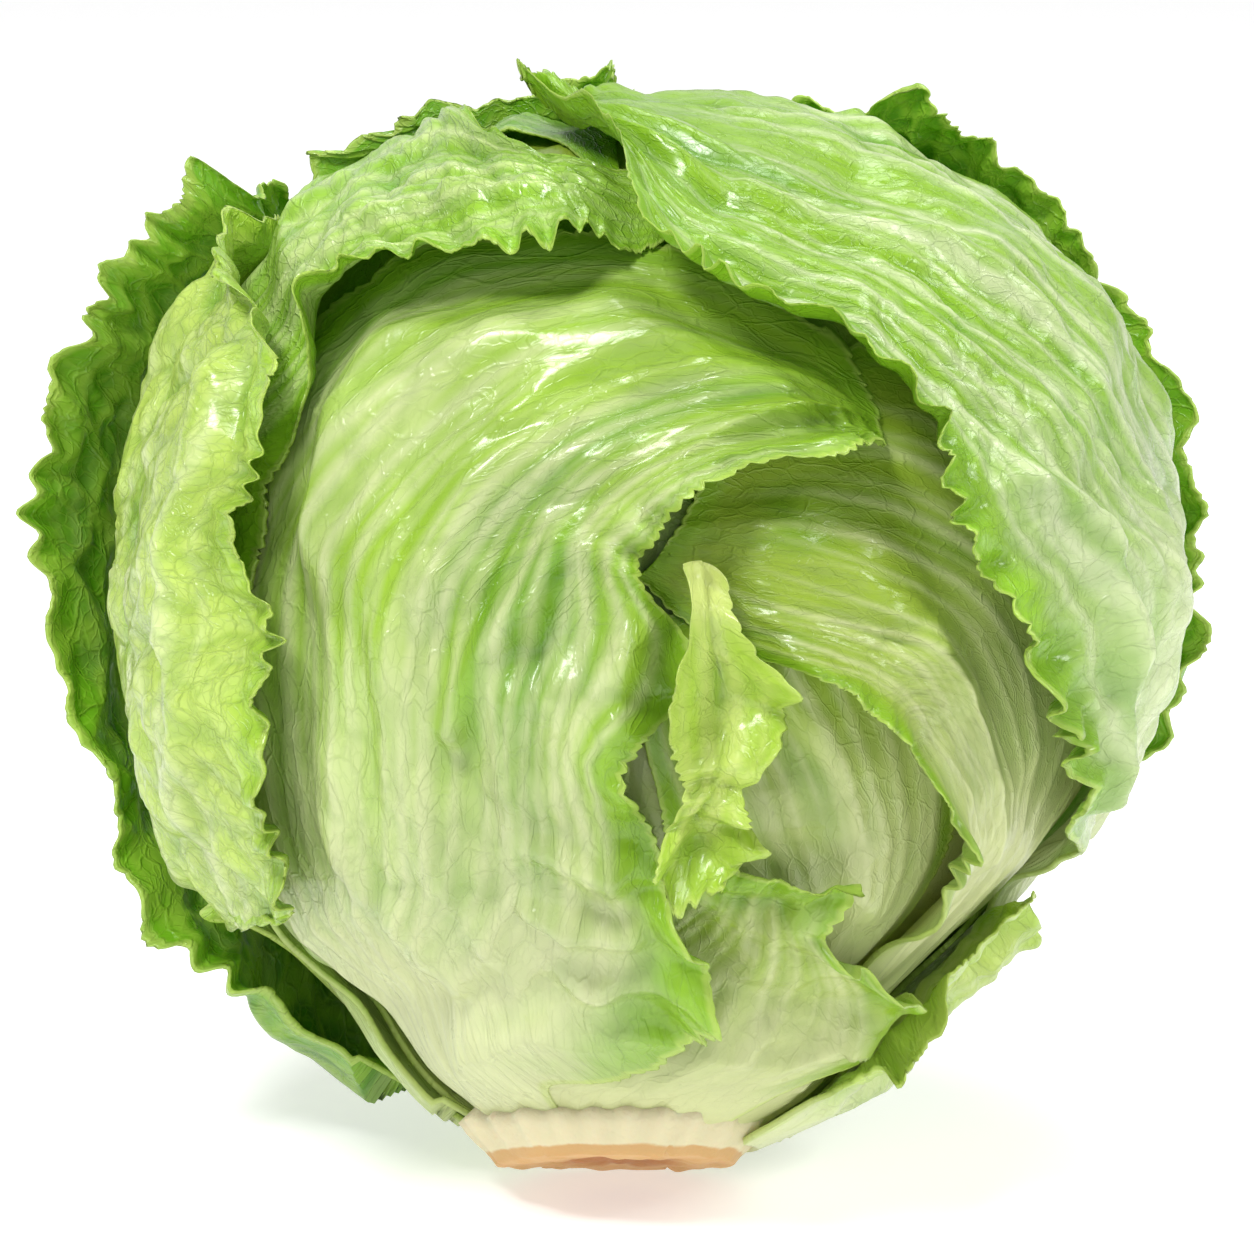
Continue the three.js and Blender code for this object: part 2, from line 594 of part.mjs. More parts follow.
// The radius of the packed heart: its inner leaves lie over each other in turns round the stem
function heartRadius(offStem, roundStem) {
  let radius = HEART_RADIUS - (HEART_LEAVES * HEART_LEAF_STEP) / 2;
  for (let leaf = 0; leaf < HEART_LEAVES; leaf++) {
    const turned = ((roundStem - leaf * GOLDEN_TURN) % 360 + 540) % 360 - 180;
    const wave = 5 * Math.sin(radians(offStem * 7 + leaf * 50));
    const half = 85 + wave + 40 * smooth(offStem, 90, 175);
    const top = 176 - leaf * 9 + 4 * Math.sin(radians(turned * 5));
    const inside = smooth(half - Math.abs(turned), -5, 5) * smooth(top - offStem, -5, 5);
    radius += HEART_LEAF_STEP * inside;
  }
  const front = 0.5 + 0.5 * Math.cos(radians(roundStem));
  const rise = THREE.MathUtils.lerp(NECK_RISE_REAR, NECK_RISE_FRONT, front);
  const offFlat = THREE.MathUtils.radToDeg(neck(roundStem, offStem).angleTo(around(84, -42)));
  const flat = FLAT_SIDE_DEPTH * Math.exp(-((offFlat / FLAT_SIDE_WIDTH) ** 2));
  return radius - flat + rise * (1 - smooth(offStem, NECK_ANGLE, SHOULDER_ANGLE));
}

function heartGeometry(reach) {
  const turns = 34;
  const wallFoot = (STEM_FACE_CENTRE.distanceTo(HEAD_CENTRE) - STEM_LENGTH) - 2;
  const angles = [8, NECK_ANGLE - 0.3, NECK_ANGLE];
  for (let i = 1; i <= 26; i++) angles.push(NECK_ANGLE + ((179 - NECK_ANGLE) * i) / 27);
  const points = [pointAt(STEM_AXIS, wallFoot)];
  angles.forEach((angle, ring) => {
    for (let i = 0; i < turns; i++) {
      const turn = (360 * i) / turns;
      points.push(pointAt(neck(turn, angle), ring < 2 ? wallFoot : heartRadius(angle, turn)));
    }
  });
  const far = STEM_AXIS.clone().negate();
  points.push(pointAt(far, heartRadius(179, 0)));
  const triangles = [];
  const last = points.length - 1;
  for (let i = 0; i < turns; i++) {
    const next = (i + 1) % turns;
    triangles.push([0, 1 + next, 1 + i]);
    for (let ring = 1; ring < angles.length; ring++) {
      const [low, high] = [1 + (ring - 1) * turns, 1 + ring * turns];
      triangles.push([low + i, low + next, high + next], [low + i, high + next, high + i]);
    }
    const top = 1 + (angles.length - 1) * turns;
    triangles.push([top + i, top + next, last]);
  }
  for (let row = 0; row < MAP_ROWS; row++) {
    for (let column = 0; column < MAP_COLUMNS; column++) {
      const [off, round] = [(row + 0.5) * MAP_STEP, (column + 0.5) * MAP_STEP - 180];
      reach.raise(neck(round, off), heartRadius(Math.max(off, NECK_ANGLE), round));
    }
  }
  return facingOut(points, triangles);
}

// The cut stem, tapering into the heart, with a flat spot where its rear rim rests
async function stemGeometry() {
  const profile = [
    [0, 0], [STEM_RADIUS - 1, 0], [STEM_RADIUS, 1], [STEM_RADIUS - 0.6, 4], [STEM_RADIUS - 2.3, 10],
    [STEM_RADIUS - 5.2, 20], [STEM_RADIUS - 8.8, STEM_LENGTH - 3], [STEM_RADIUS - 11, STEM_LENGTH],
    [0, STEM_LENGTH],
  ];
  const lathe = new THREE.LatheGeometry(profile.map(([x, y]) => new THREE.Vector2(x, y)), 40);
  lathe.rotateX(Math.PI / 2);
  lathe.rotateX(-radians(STEM_LEAN));
  lathe.translate(...STEM_FACE_CENTRE.toArray());
  lathe.deleteAttribute('normal');
  lathe.deleteAttribute('uv');
  const stem = mergeVertices(lathe, 1e-3);
  const block = new THREE.BoxGeometry(80, 80, 80);
  block.translate(0, 0, 40);
  block.deleteAttribute('normal');
  block.deleteAttribute('uv');
  const wasm = await Module();
  wasm.setup();
  const solid = (geometry) => new wasm.Manifold(new wasm.Mesh({
    numProp: 3,
    vertProperties: Float32Array.from(geometry.attributes.position.array),
    triVerts: Uint32Array.from(geometry.index.array),
  }));
  const cut = solid(stem).intersect(solid(mergeVertices(block))).getMesh();
  const geometry = new THREE.BufferGeometry();
  geometry.setAttribute('position', new THREE.Float32BufferAttribute(Array.from(cut.vertProperties), 3));
  geometry.setIndex(Array.from(cut.triVerts));
  geometry.computeVertexNormals();
  return geometry;
}

function named(name, geometry, colour, roughness) {
  const material = new THREE.MeshStandardMaterial({ color: colour, roughness, metalness: 0 });
  const mesh = new THREE.Mesh(geometry, material);
  mesh.name = name;
  return mesh;
}

const group = new THREE.Group();
const reach = new DirectionMap();
group.add(named('cut_stem', await stemGeometry(), '#e9e2c4', 0.6));
group.add(named('heart', heartGeometry(reach), '#dbe6a6', 0.5));
const allCurves = LEAVES.map(({ rows }) => [0, 1, 2].map(
  (edge) => new THREE.CatmullRomCurve3(rows.map((row) => row[edge]), false, 'centripetal'),
));
LEAVES.forEach((leaf, i) => {
  const covered = freedomUnder(allCurves.slice(i + 1));
  group.add(named(leaf.name, leafGeometry(leaf, allCurves[i], i, reach, covered), leaf.colour, 0.45));
});

export default group;
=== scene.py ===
import logging
import math
from dataclasses import dataclass, field
from enum import Enum

import bpy
import numpy as np
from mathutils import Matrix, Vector


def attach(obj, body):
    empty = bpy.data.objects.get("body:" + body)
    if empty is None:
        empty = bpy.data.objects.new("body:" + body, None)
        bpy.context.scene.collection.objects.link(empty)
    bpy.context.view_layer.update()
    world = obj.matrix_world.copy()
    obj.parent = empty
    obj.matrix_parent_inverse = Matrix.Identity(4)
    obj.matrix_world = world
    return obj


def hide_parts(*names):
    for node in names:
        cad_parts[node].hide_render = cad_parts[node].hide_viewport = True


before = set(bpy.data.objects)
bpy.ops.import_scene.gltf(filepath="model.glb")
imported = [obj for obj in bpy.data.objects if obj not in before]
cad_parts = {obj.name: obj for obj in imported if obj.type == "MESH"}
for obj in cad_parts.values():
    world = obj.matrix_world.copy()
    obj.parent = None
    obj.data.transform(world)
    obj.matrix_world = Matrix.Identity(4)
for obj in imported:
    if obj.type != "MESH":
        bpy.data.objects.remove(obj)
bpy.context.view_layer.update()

LOG = logging.getLogger("lettuce")

# Lengths are in millimetres until a mesh is made. Directions run from the head's centre and are given in the
# head's axes, which are those of the front view: right, up and toward the viewer.
MM = 0.001
HEAD_CENTRE = np.array([5.2, 15.1, 85.0])
STEM_FACE_CENTRE = np.array([0.0, -16.84, 5.92])
HEAD_STRETCH = np.array([1.03, 0.985, 0.985])
VIEW_RISE = math.radians(12)
VIEW_DISTANCE = 750.0
OUTLINE_RADIUS = 79.0
STEM_LENGTH = 36.0
NECK_ANGLE = 14.6
COLLAR_ANGLE = 13.3
NOISE_CELLS = 64
HALF_CELL = 0.5
MID_GREY = (0.5, 0.5, 0.5)
WHITE = (1.0, 1.0, 1.0, 1.0)

SEEN_RIGHT = np.array([1.0, 0.0, 0.0])
SEEN_UP = np.array([0.0, math.sin(VIEW_RISE), math.cos(VIEW_RISE)])
SEEN_FRONT = np.array([0.0, -math.cos(VIEW_RISE), math.sin(VIEW_RISE)])
SEEN_AXES = np.stack([SEEN_RIGHT, SEEN_UP, SEEN_FRONT])


def unit(vectors: np.ndarray) -> np.ndarray:
    """Vectors of length one, along the last axis."""
    return vectors / np.maximum(np.linalg.norm(vectors, axis=-1, keepdims=True), 1e-9)


STEM_AXIS = unit(SEEN_AXES @ (STEM_FACE_CENTRE - HEAD_CENTRE))
AXIS_FRONT = unit(np.array([0.0, 0.0, 1.0]) - STEM_AXIS * STEM_AXIS[2])
AXIS_RIGHT = unit(np.cross(AXIS_FRONT, STEM_AXIS))


def smooth(value: np.ndarray, low: float, high: float) -> np.ndarray:
    """A smooth step from 0 at low to 1 at high."""
    share = np.clip((value - low) / (high - low), 0.0, 1.0)
    return share * share * (3.0 - 2.0 * share)


def seen(x: float, y: float) -> np.ndarray:
    """A direction from the head's centre by its place in the front view.

    Args:
        x: Millimetres to the right of the centre.
        y: Millimetres above the centre.

    Returns:
        The unit direction in the head's axes: right, up and front.
    """
    ray = unit(np.array([x, y, -VIEW_DISTANCE]))
    along = VIEW_DISTANCE * ray[2]
    reach = max(along * along - VIEW_DISTANCE ** 2 + OUTLINE_RADIUS ** 2, 0.0)
    return unit(ray * (-along - math.sqrt(reach)) + np.array([0.0, 0.0, VIEW_DISTANCE]))


def around(turn: float, rise: float) -> np.ndarray:
    """A direction by degrees round to the right from the front, and degrees up."""
    t, r = math.radians(turn), math.radians(rise)
    return np.array([math.cos(r) * math.sin(t), math.sin(r), math.cos(r) * math.cos(t)])


def neck(turn: float, angle: float = NECK_ANGLE) -> np.ndarray:
    """A direction by degrees round the stem from the front, and degrees off the stem's axis.

    Args:
        turn: Degrees round the stem.
        angle: Degrees off its axis.

    Returns:
        The unit direction.
    """
    t, a = math.radians(turn), math.radians(angle)
    side = AXIS_FRONT * math.cos(t) + AXIS_RIGHT * math.sin(t)
    return STEM_AXIS * math.cos(a) + side * math.sin(a)


def necks(turns: np.ndarray, angles: np.ndarray) -> np.ndarray:
    """Directions round the stem for arrays of turns and angles in degrees."""
    t, a = np.radians(turns)[..., None], np.radians(angles)[..., None]
    return STEM_AXIS * np.cos(a) + (AXIS_FRONT * np.cos(t) + AXIS_RIGHT * np.sin(t)) * np.sin(a)


def degrees_off_stem(direction: np.ndarray) -> float:
    """Degrees between one direction and the stem's axis."""
    return math.degrees(math.acos(float(np.clip(direction @ STEM_AXIS, -1.0, 1.0))))


def points_at(directions: np.ndarray, radii: np.ndarray) -> np.ndarray:
    """Points of the part, in millimetres, at radii along directions of the head's axes."""
    return HEAD_CENTRE + (directions * radii[..., None] * HEAD_STRETCH) @ SEEN_AXES


def floor_radii(directions: np.ndarray) -> np.ndarray:
    """The radius at which each direction meets the floor, and a huge one where it points up."""
    fall = HEAD_CENTRE[2] - points_at(directions, np.ones(directions.shape[:-1]))[..., 2]
    return np.where(fall > 1e-6, HEAD_CENTRE[2] / np.maximum(fall, 1e-6), 1e9)


def fading(distance: np.ndarray, width: np.ndarray | float) -> np.ndarray:
    """A round fall from 1 at no distance to about a third at the width."""
    return np.exp(-(distance / width) ** 2)


def between(table: np.ndarray, rows: tuple, columns: tuple, down: np.ndarray, over: np.ndarray) -> np.ndarray:
    """The values of a table between two rows and two columns, by shares down and over."""
    near, far = (table[row, columns[0]] * (1 - over) + table[row, columns[1]] * over for row in rows)
    return near * (1 - down) + far * down


def value_noise(u: np.ndarray, v: np.ndarray, seed: int) -> np.ndarray:
    """Smooth noise between 0 and 1 over a plane.

    Args:
        u: First coordinate, one cell per unit.
        v: Second coordinate, one cell per unit.
        seed: Fixed seed of the cells' values.

    Returns:
        A value for each place.
    """
    table = np.random.default_rng(seed).random((NOISE_CELLS, NOISE_CELLS))
    cells = [np.floor(place).astype(int) for place in (u, v)]
    shares = (place - cell for place, cell in zip((u, v), cells))
    fu, fv = (share * share * (3 - 2 * share) for share in shares)
    rows, columns = ((cell % NOISE_CELLS, (cell + 1) % NOISE_CELLS) for cell in cells)
    return between(table, rows, columns, fu, fv)


def ridged(u: np.ndarray, v: np.ndarray, seed: int) -> np.ndarray:
    """Noise between 0 and 1 with narrow crests."""
    return 1 - np.abs(2 * value_noise(u, v, seed) - 1)


def puffed(u: np.ndarray, v: np.ndarray, seed: int) -> np.ndarray:
    """Noise between 0 and 1 with round crests and narrow valleys."""
    turned_u, turned_v = 0.8 * u + 0.6 * v, 0.8 * v - 0.6 * u
    return np.minimum(1.0, 1.7 * np.abs(2 * value_noise(turned_u, turned_v, seed) - 1))


def waves(distance: np.ndarray, seed: float) -> np.ndarray:
    """Uneven waves between -1 and 1 along a blade, about 15 and 7.5 mm long."""
    return 0.6 * np.sin(distance * 0.42 + seed * 1.7) + 0.4 * np.sin(distance * 0.83 + seed * 4.1)


class DirectionMap:
    """A value for each direction from the head's centre, on rows of equal angle off the stem."""

    ROWS = 180
    COLUMNS = 360

    def __init__(self, cells: np.ndarray | None = None) -> None:
        """Starts the map at zero, or from given cells."""
        self.cells = np.zeros((self.ROWS, self.COLUMNS)) if cells is None else cells

    def place(self, directions: np.ndarray) -> tuple[np.ndarray, np.ndarray]:
        """The fractional row and column of each direction.

        Args:
            directions: Unit directions from the head's centre.

        Returns:
            The rows, and the columns before they wrap round.
        """
        off = np.degrees(np.arccos(np.clip(directions @ STEM_AXIS, -1.0, 1.0)))
        turn = np.degrees(np.arctan2(directions @ AXIS_RIGHT, directions @ AXIS_FRONT))
        return np.clip(off - HALF_CELL, 0.0, self.ROWS - 1.0), turn + (self.COLUMNS / 2 - HALF_CELL)

    def raise_to(self, directions: np.ndarray, values: np.ndarray) -> None:
        """Raises the cells under the directions to the values where those are larger.

        Args:
            directions: Unit directions from the head's centre.
            values: A value for each direction, or one for all.
        """
        row, column = self.place(directions)
        rows = np.rint(row).astype(int).ravel()
        columns = (np.rint(column).astype(int) % self.COLUMNS).ravel()
        np.maximum.at(self.cells, (rows, columns), np.broadcast_to(values, row.shape).ravel())

    def at(self, directions: np.ndarray) -> np.ndarray:
        """The value in each direction, blended between the nearest cells.

        Args:
            directions: Unit directions from the head's centre.

        Returns:
            The values.
        """
        row, column = self.place(directions)
        low, left = np.floor(row).astype(int), np.floor(column).astype(int)
        high, right = np.minimum(low + 1, self.ROWS - 1), (left + 1) % self.COLUMNS
        over = column - left
        return between(self.cells, (low, high), (left % self.COLUMNS, right), row - low, over)

    def spread(self, angle: float, largest: bool) -> "DirectionMap":
        """The map with each cell taken from all the cells within an angle.

        Args:
            angle: Degrees within which the cells count.
            largest: Takes the largest of them, or else their mean.

        Returns:
            A new map.
        """
        result = np.zeros_like(self.cells)
        wrapped = np.concatenate([self.cells] * 3, axis=1)
        sums = np.cumsum(np.concatenate([np.zeros((self.ROWS, 1)), wrapped], axis=1), axis=1)
        middle = np.arange(self.COLUMNS) + self.COLUMNS
        reach = int(angle)
        for row in range(self.ROWS):
            here = math.radians(row + HALF_CELL)
            total, weight = np.zeros(self.COLUMNS), 0.0
            for other in range(max(row - reach, 0), min(row + reach, self.ROWS - 1) + 1):
                there = math.radians(other + HALF_CELL)
                bound = math.cos(math.radians(angle)) - math.cos(here) * math.cos(there)
                bound /= math.sin(here) * math.sin(there)
                half = math.degrees(math.acos(min(max(bound, -1.0), 1.0)))
                wide = min(int(half), self.COLUMNS // 2 - 1)
                if largest:
                    window = np.lib.stride_tricks.sliding_window_view(wrapped[other], 2 * wide + 1)
                    most = window[middle - wide].max(axis=1)
                    result[row] = np.maximum(result[row], most)
                else:
                    share = math.sin(there)
                    total += share * (sums[other, middle + wide + 1] - sums[other, middle - wide])
                    weight += share * (2 * wide + 1)
            if not largest:
                result[row] = total / weight
        return DirectionMap(result)


class EdgeCurve:
    """A smooth line through directions: one edge or the middle of a blade."""

    SHORTEST = 1e-4

    def __init__(self, keys: list[np.ndarray]) -> None:
        """Keeps the directions that the line runs through."""
        self.keys = np.array(keys)

    def at(self, along: np.ndarray) -> np.ndarray:
        """Points of the line.

        Args:
            along: Places from 0 at its start to 1 at its end.

        Returns:
            A point for each place, not of unit length.
        """
        keys, count = self.keys, len(self.keys)
        place = np.clip(along, 0.0, 1.0) * (count - 1)
        index = np.minimum(np.floor(place).astype(int), count - 2)
        share = (place - index)[..., None]
        before = np.concatenate([[2 * keys[0] - keys[1]], keys, [2 * keys[-1] - keys[-2]]])
        p0, p1, p2, p3 = (before[index + i] for i in range(4))
        d0, d1, d2 = (np.sum((b - a) ** 2, axis=-1, keepdims=True) ** 0.25
                      for a, b in ((p0, p1), (p1, p2), (p2, p3)))
        d1 = np.where(d1 < self.SHORTEST, 1.0, d1)
        d0, d2 = (np.where(d < self.SHORTEST, d1, d) for d in (d0, d2))
        t1 = ((p1 - p0) / d0 - (p2 - p0) / (d0 + d1) + (p2 - p1) / d1) * d1
        t2 = ((p2 - p1) / d1 - (p3 - p1) / (d1 + d2) + (p3 - p2) / d2) * d1
        c2, c3 = -3 * p1 + 3 * p2 - 2 * t1 - t2, 2 * p1 - 2 * p2 + t1 + t2
        return p1 + t1 * share + c2 * share ** 2 + c3 * share ** 3


def srgb(red: float, green: float, blue: float) -> tuple[float, float, float, float]:
    """A colour given by its 0 to 255 screen values, as linear values with alpha."""
    linear = [((c / 255 + 0.055) / 1.055) ** 2.4 if c > 10 else c / 3294.6 for c in (red, green, blue)]
    return (linear[0], linear[1], linear[2], 1.0)


class Slot(Enum):
    """The record's material slots."""

    STEM = "cut_stem"
    PALE = "pale_leaf"
    GREEN = "green_leaf"
    OUTER = "outer_leaf"


class Wiring:
    """Adds nodes to a tree and joins them."""

    def __init__(self, tree: bpy.types.NodeTree) -> None:
        """Keeps the tree to build in."""
        self.tree = tree

    def node(self, kind: str, inputs: dict | None = None, **settings: object) -> bpy.types.Node:
        """Adds a node.

        Args:
            kind: The node's type.
            inputs: Values or sockets for its inputs, by name or number.
            settings: Values for its own settings.

        Returns:
            The new node.
        """
        made = self.tree.nodes.new(kind)
        for key, value in settings.items():
            setattr(made, key, value)
        for key, value in (inputs or {}).items():
            if isinstance(value, bpy.types.NodeSocket):
                self.tree.links.new(value, made.inputs[key])
            else:
                made.inputs[key].default_value = value
        return made

    def math(self, operation: str, first: object, second: object, clamp: bool = False) -> object:
        """The output of a math node on two values or sockets."""
        inputs = {0: first, 1: second}
        return self.node("ShaderNodeMath", inputs, operation=operation, use_clamp=clamp).outputs[0]

    def vector(self, operation: str, first: object, second: object) -> object:
        """The output of a vector math node, whose second input is a number where it scales."""
        inputs = {0: first, "Scale" if operation == "SCALE" else 1: second}
        return self.node("ShaderNodeVectorMath", inputs, operation=operation).outputs[0]

    def ramp(self, value: object, low: float, high: float, start: float = 0.0, end: float = 1.0) -> object:
        """The output of a smooth map from one range to another.

        Args:
            value: The socket to map.
            low: Where the map starts.
            high: Where it ends.
            start: What it gives at its start.
            end: What it gives at its end.

        Returns:
            The result's socket.
        """
        inputs = {"Value": value, "From Min": low, "From Max": high, "To Min": start, "To Max": end}
        made = self.node("ShaderNodeMapRange", inputs, interpolation_type="SMOOTHSTEP")
        return made.outputs["Result"]

    def mix(self, share: object, first: object, second: object) -> object:
        """The output of a colour mix."""
        return self.node("ShaderNodeMix", {0: share, 6: first, 7: second}, data_type="RGBA").outputs[2]

    def noise(self, place: object, scale: float, detail: float, **inputs: object) -> object:
        """The value of a noise texture."""
        given = {"Vector": place, "Scale": scale, "Detail": detail, **inputs}
        return self.node("ShaderNodeTexNoise", given).outputs["Fac"]

    def attribute(self, name: str) -> object:
        """The number that a mesh keeps under a name."""
        return self.node("ShaderNodeAttribute", attribute_name=name).outputs["Fac"]

    def warped(self, place: object, scale: object, warp: object, noise: dict, **settings: object) -> tuple:
        """A place scaled up and then shifted about by noise.

        Args:
            place: The place to start from.
            scale: Its factor.
            warp: How far the noise shifts it.
            noise: The noise's own inputs.
            settings: The noise's own settings.

        Returns:
            The new place and the noise's value.
        """
        spread = self.vector("SCALE", place, scale)
        wander = self.node("ShaderNodeTexNoise", {"Vector": spread, **noise}, **settings).outputs
        shift = self.vector("SCALE", self.vector("SUBTRACT", wander["Color"], MID_GREY), warp)
        return self.vector("ADD", spread, shift), wander[0]


def new_group(name: str, inputs: dict[str, object], outputs: dict[str, str]) -> tuple:
    """A new shader group with named sockets.

    Args:
        name: The group's name.
        inputs: The default of each input: a number, a colour, or None for a vector.
        outputs: The kind of each output.

    Returns:
        The group's wiring and the sockets that its inputs come in by.
    """
    tree = bpy.data.node_groups.new(name, "ShaderNodeTree")
    for label, default in inputs.items():
        kind = "Vector" if default is None else "Color" if isinstance(default, tuple) else "Float"
        socket = tree.interface.new_socket(name=label, in_out="INPUT", socket_type="NodeSocket" + kind)
        if default is not None:
            socket.default_value = default
    for label, kind in outputs.items():
        tree.interface.new_socket(name=label, in_out="OUTPUT", socket_type="NodeSocket" + kind)
    wiring = Wiring(tree)
    return wiring, wiring.node("NodeGroupInput").outputs


def blank_material(name: str) -> tuple[bpy.types.Material, Wiring]:
    """A new material without nodes, and its wiring.

    Args:
        name: The material's name.

    Returns:
        The material and its wiring.
    """
    made = bpy.data.materials.new(name)
    made.use_nodes = True
    made.node_tree.nodes.clear()
    return made, Wiring(made.node_tree)


class LeafShading:
    """The shader groups that all leaves share: veins, tone from base to margin, and waxy grain."""

    PATCH_SCALE = 45.0
    SKIN_SCALE = 900.0
    SWELL_SCALE = 160.0
    RIM_STRENGTH = 0.55

    def __init__(self) -> None:
        """Builds the three groups."""
        self.veins = self.vein_group()
        self.tone = self.tone_group()
        self.grain = self.grain_group()

    @staticmethod
    def vein_group() -> bpy.types.NodeTree:
        """A branching net of veins, as a coarse and a fine mask.

        Returns:
            The group.
        """
        w, given = new_group("leaf vein net", {"Vector": None, "Scale": 140.0, "Width": 0.07, "Warp": 1.0},
                             {"Coarse": "Float", "Fine": "Float"})
        place, _ = w.warped(given["Vector"], given["Scale"], given["Warp"], {"Scale": 0.8, "Detail": 3.0})
        masks = {}
        for label, scale, width in (("Coarse", 1.0, 1.0), ("Fine", 2.7, 1.6)):
            cells = w.node("ShaderNodeTexVoronoi", {"Vector": place, "Scale": scale},
                           feature="DISTANCE_TO_EDGE")
            edge = w.math("DIVIDE", cells.outputs["Distance"], w.math("MULTIPLY", given["Width"], width))
            masks[label] = w.ramp(edge, 0.0, 1.0, 1.0, 0.0)
        w.node("NodeGroupOutput", masks)
        return w.tree

    @classmethod
    def tone_group(cls) -> bpy.types.NodeTree:
        """A leaf's colour from its base to its margin, with ribs, veins, patches and painted shade in its
        hollows.

        Returns:
            The group.
        """
        tones = ("Base Tone", "Blade Tone", "Painted Shade Tone", "Margin Tone", "Vein Tone", "Rim Tone")
        w, given = new_group(
            "leaf tone",
            {**{label: WHITE for label in tones}, "Along": 0.5, "Edge": 0.0, "Rib": 0.0, "Rib Strength": 0.8,
             "Vein": 0.0, "Vein Strength": 0.5, "Base Reach": 0.5, "Relief": 0.5, "Vector": None},
            {"Color": "Color"})
        patch = w.math("SUBTRACT", w.noise(given["Vector"], cls.PATCH_SCALE, 4.0, Roughness=0.6), 0.5)
        greener = w.math("MULTIPLY", w.ramp(given["Along"], 0.04, 0.3, 0.0, 0.22), given["Edge"])
        along = w.math("ADD", given["Along"], w.math("ADD", greener, w.math("MULTIPLY", patch, 0.35)))
        reach = w.math("DIVIDE", along, given["Base Reach"])
        green = w.ramp(reach, 0.15, 1.0)
        tone = w.mix(green, given["Base Tone"], given["Blade Tone"])
        # Painted shade: darkens the blade toward the shade tone in the hollows of its relief.
        hollow = w.math("MULTIPLY", w.ramp(given["Relief"], 0.08, 0.72, 0.9, 0.0), green)
        tone = w.mix(hollow, tone, given["Painted Shade Tone"])
        edge = w.math("ADD", given["Edge"], w.math("MULTIPLY", patch, 0.5))
        tone = w.mix(w.math("MULTIPLY", w.ramp(edge, 0.25, 0.95), green), tone, given["Margin Tone"])
        rib = w.math("MULTIPLY", given["Rib"], given["Rib Strength"], clamp=True)
        tone = w.mix(rib, tone, given["Base Tone"])
        vein = w.math("MULTIPLY", given["Vein"], given["Vein Strength"], clamp=True)
        tone = w.mix(w.math("MULTIPLY", vein, w.ramp(reach, 0.1, 0.7)), tone, given["Vein Tone"])
        rim = w.math("MULTIPLY", w.ramp(given["Edge"], 0.97, 0.998), cls.RIM_STRENGTH)
        tone = w.mix(rim, tone, given["Rim Tone"])
        bright = w.math("ADD", 1.0, w.math("MULTIPLY", patch, 0.5))
        shade = w.node("ShaderNodeHueSaturation", {"Color": tone, "Value": bright})
        w.node("NodeGroupOutput", {"Color": shade.outputs["Color"]})
        return w.tree

    @classmethod
    def grain_group(cls) -> bpy.types.NodeTree:
        """The fine relief and uneven sheen of a waxy skin.

        Returns:
            The group.
        """
        w, given = new_group(
            "waxy grain",
            {"Vector": None, "Vein": 0.0, "Fine Vein": 0.0, "Roughness": 0.4, "Vein Relief": 1.0},
            {"Height": "Float", "Roughness": "Float"})
        skin = w.noise(given["Vector"], cls.SKIN_SCALE, 3.0)
        swell = w.noise(given["Vector"], cls.SWELL_SCALE, 3.0)
        veins = w.math("ADD", w.math("MULTIPLY", given["Vein"], 0.6),
                       w.math("MULTIPLY", given["Fine Vein"], 0.25))
        height = w.math("MULTIPLY", veins, given["Vein Relief"])
        for layer, share in ((skin, 0.12), (swell, 0.9)):
            height = w.math("ADD", height, w.math("MULTIPLY", layer, share))
        uneven = w.math("MULTIPLY", w.math("SUBTRACT", swell, 0.5), 0.35)
        rough = w.math("ADD", given["Roughness"], uneven, clamp=True)
        w.node("NodeGroupOutput", {"Height": height, "Roughness": rough})
        return w.tree


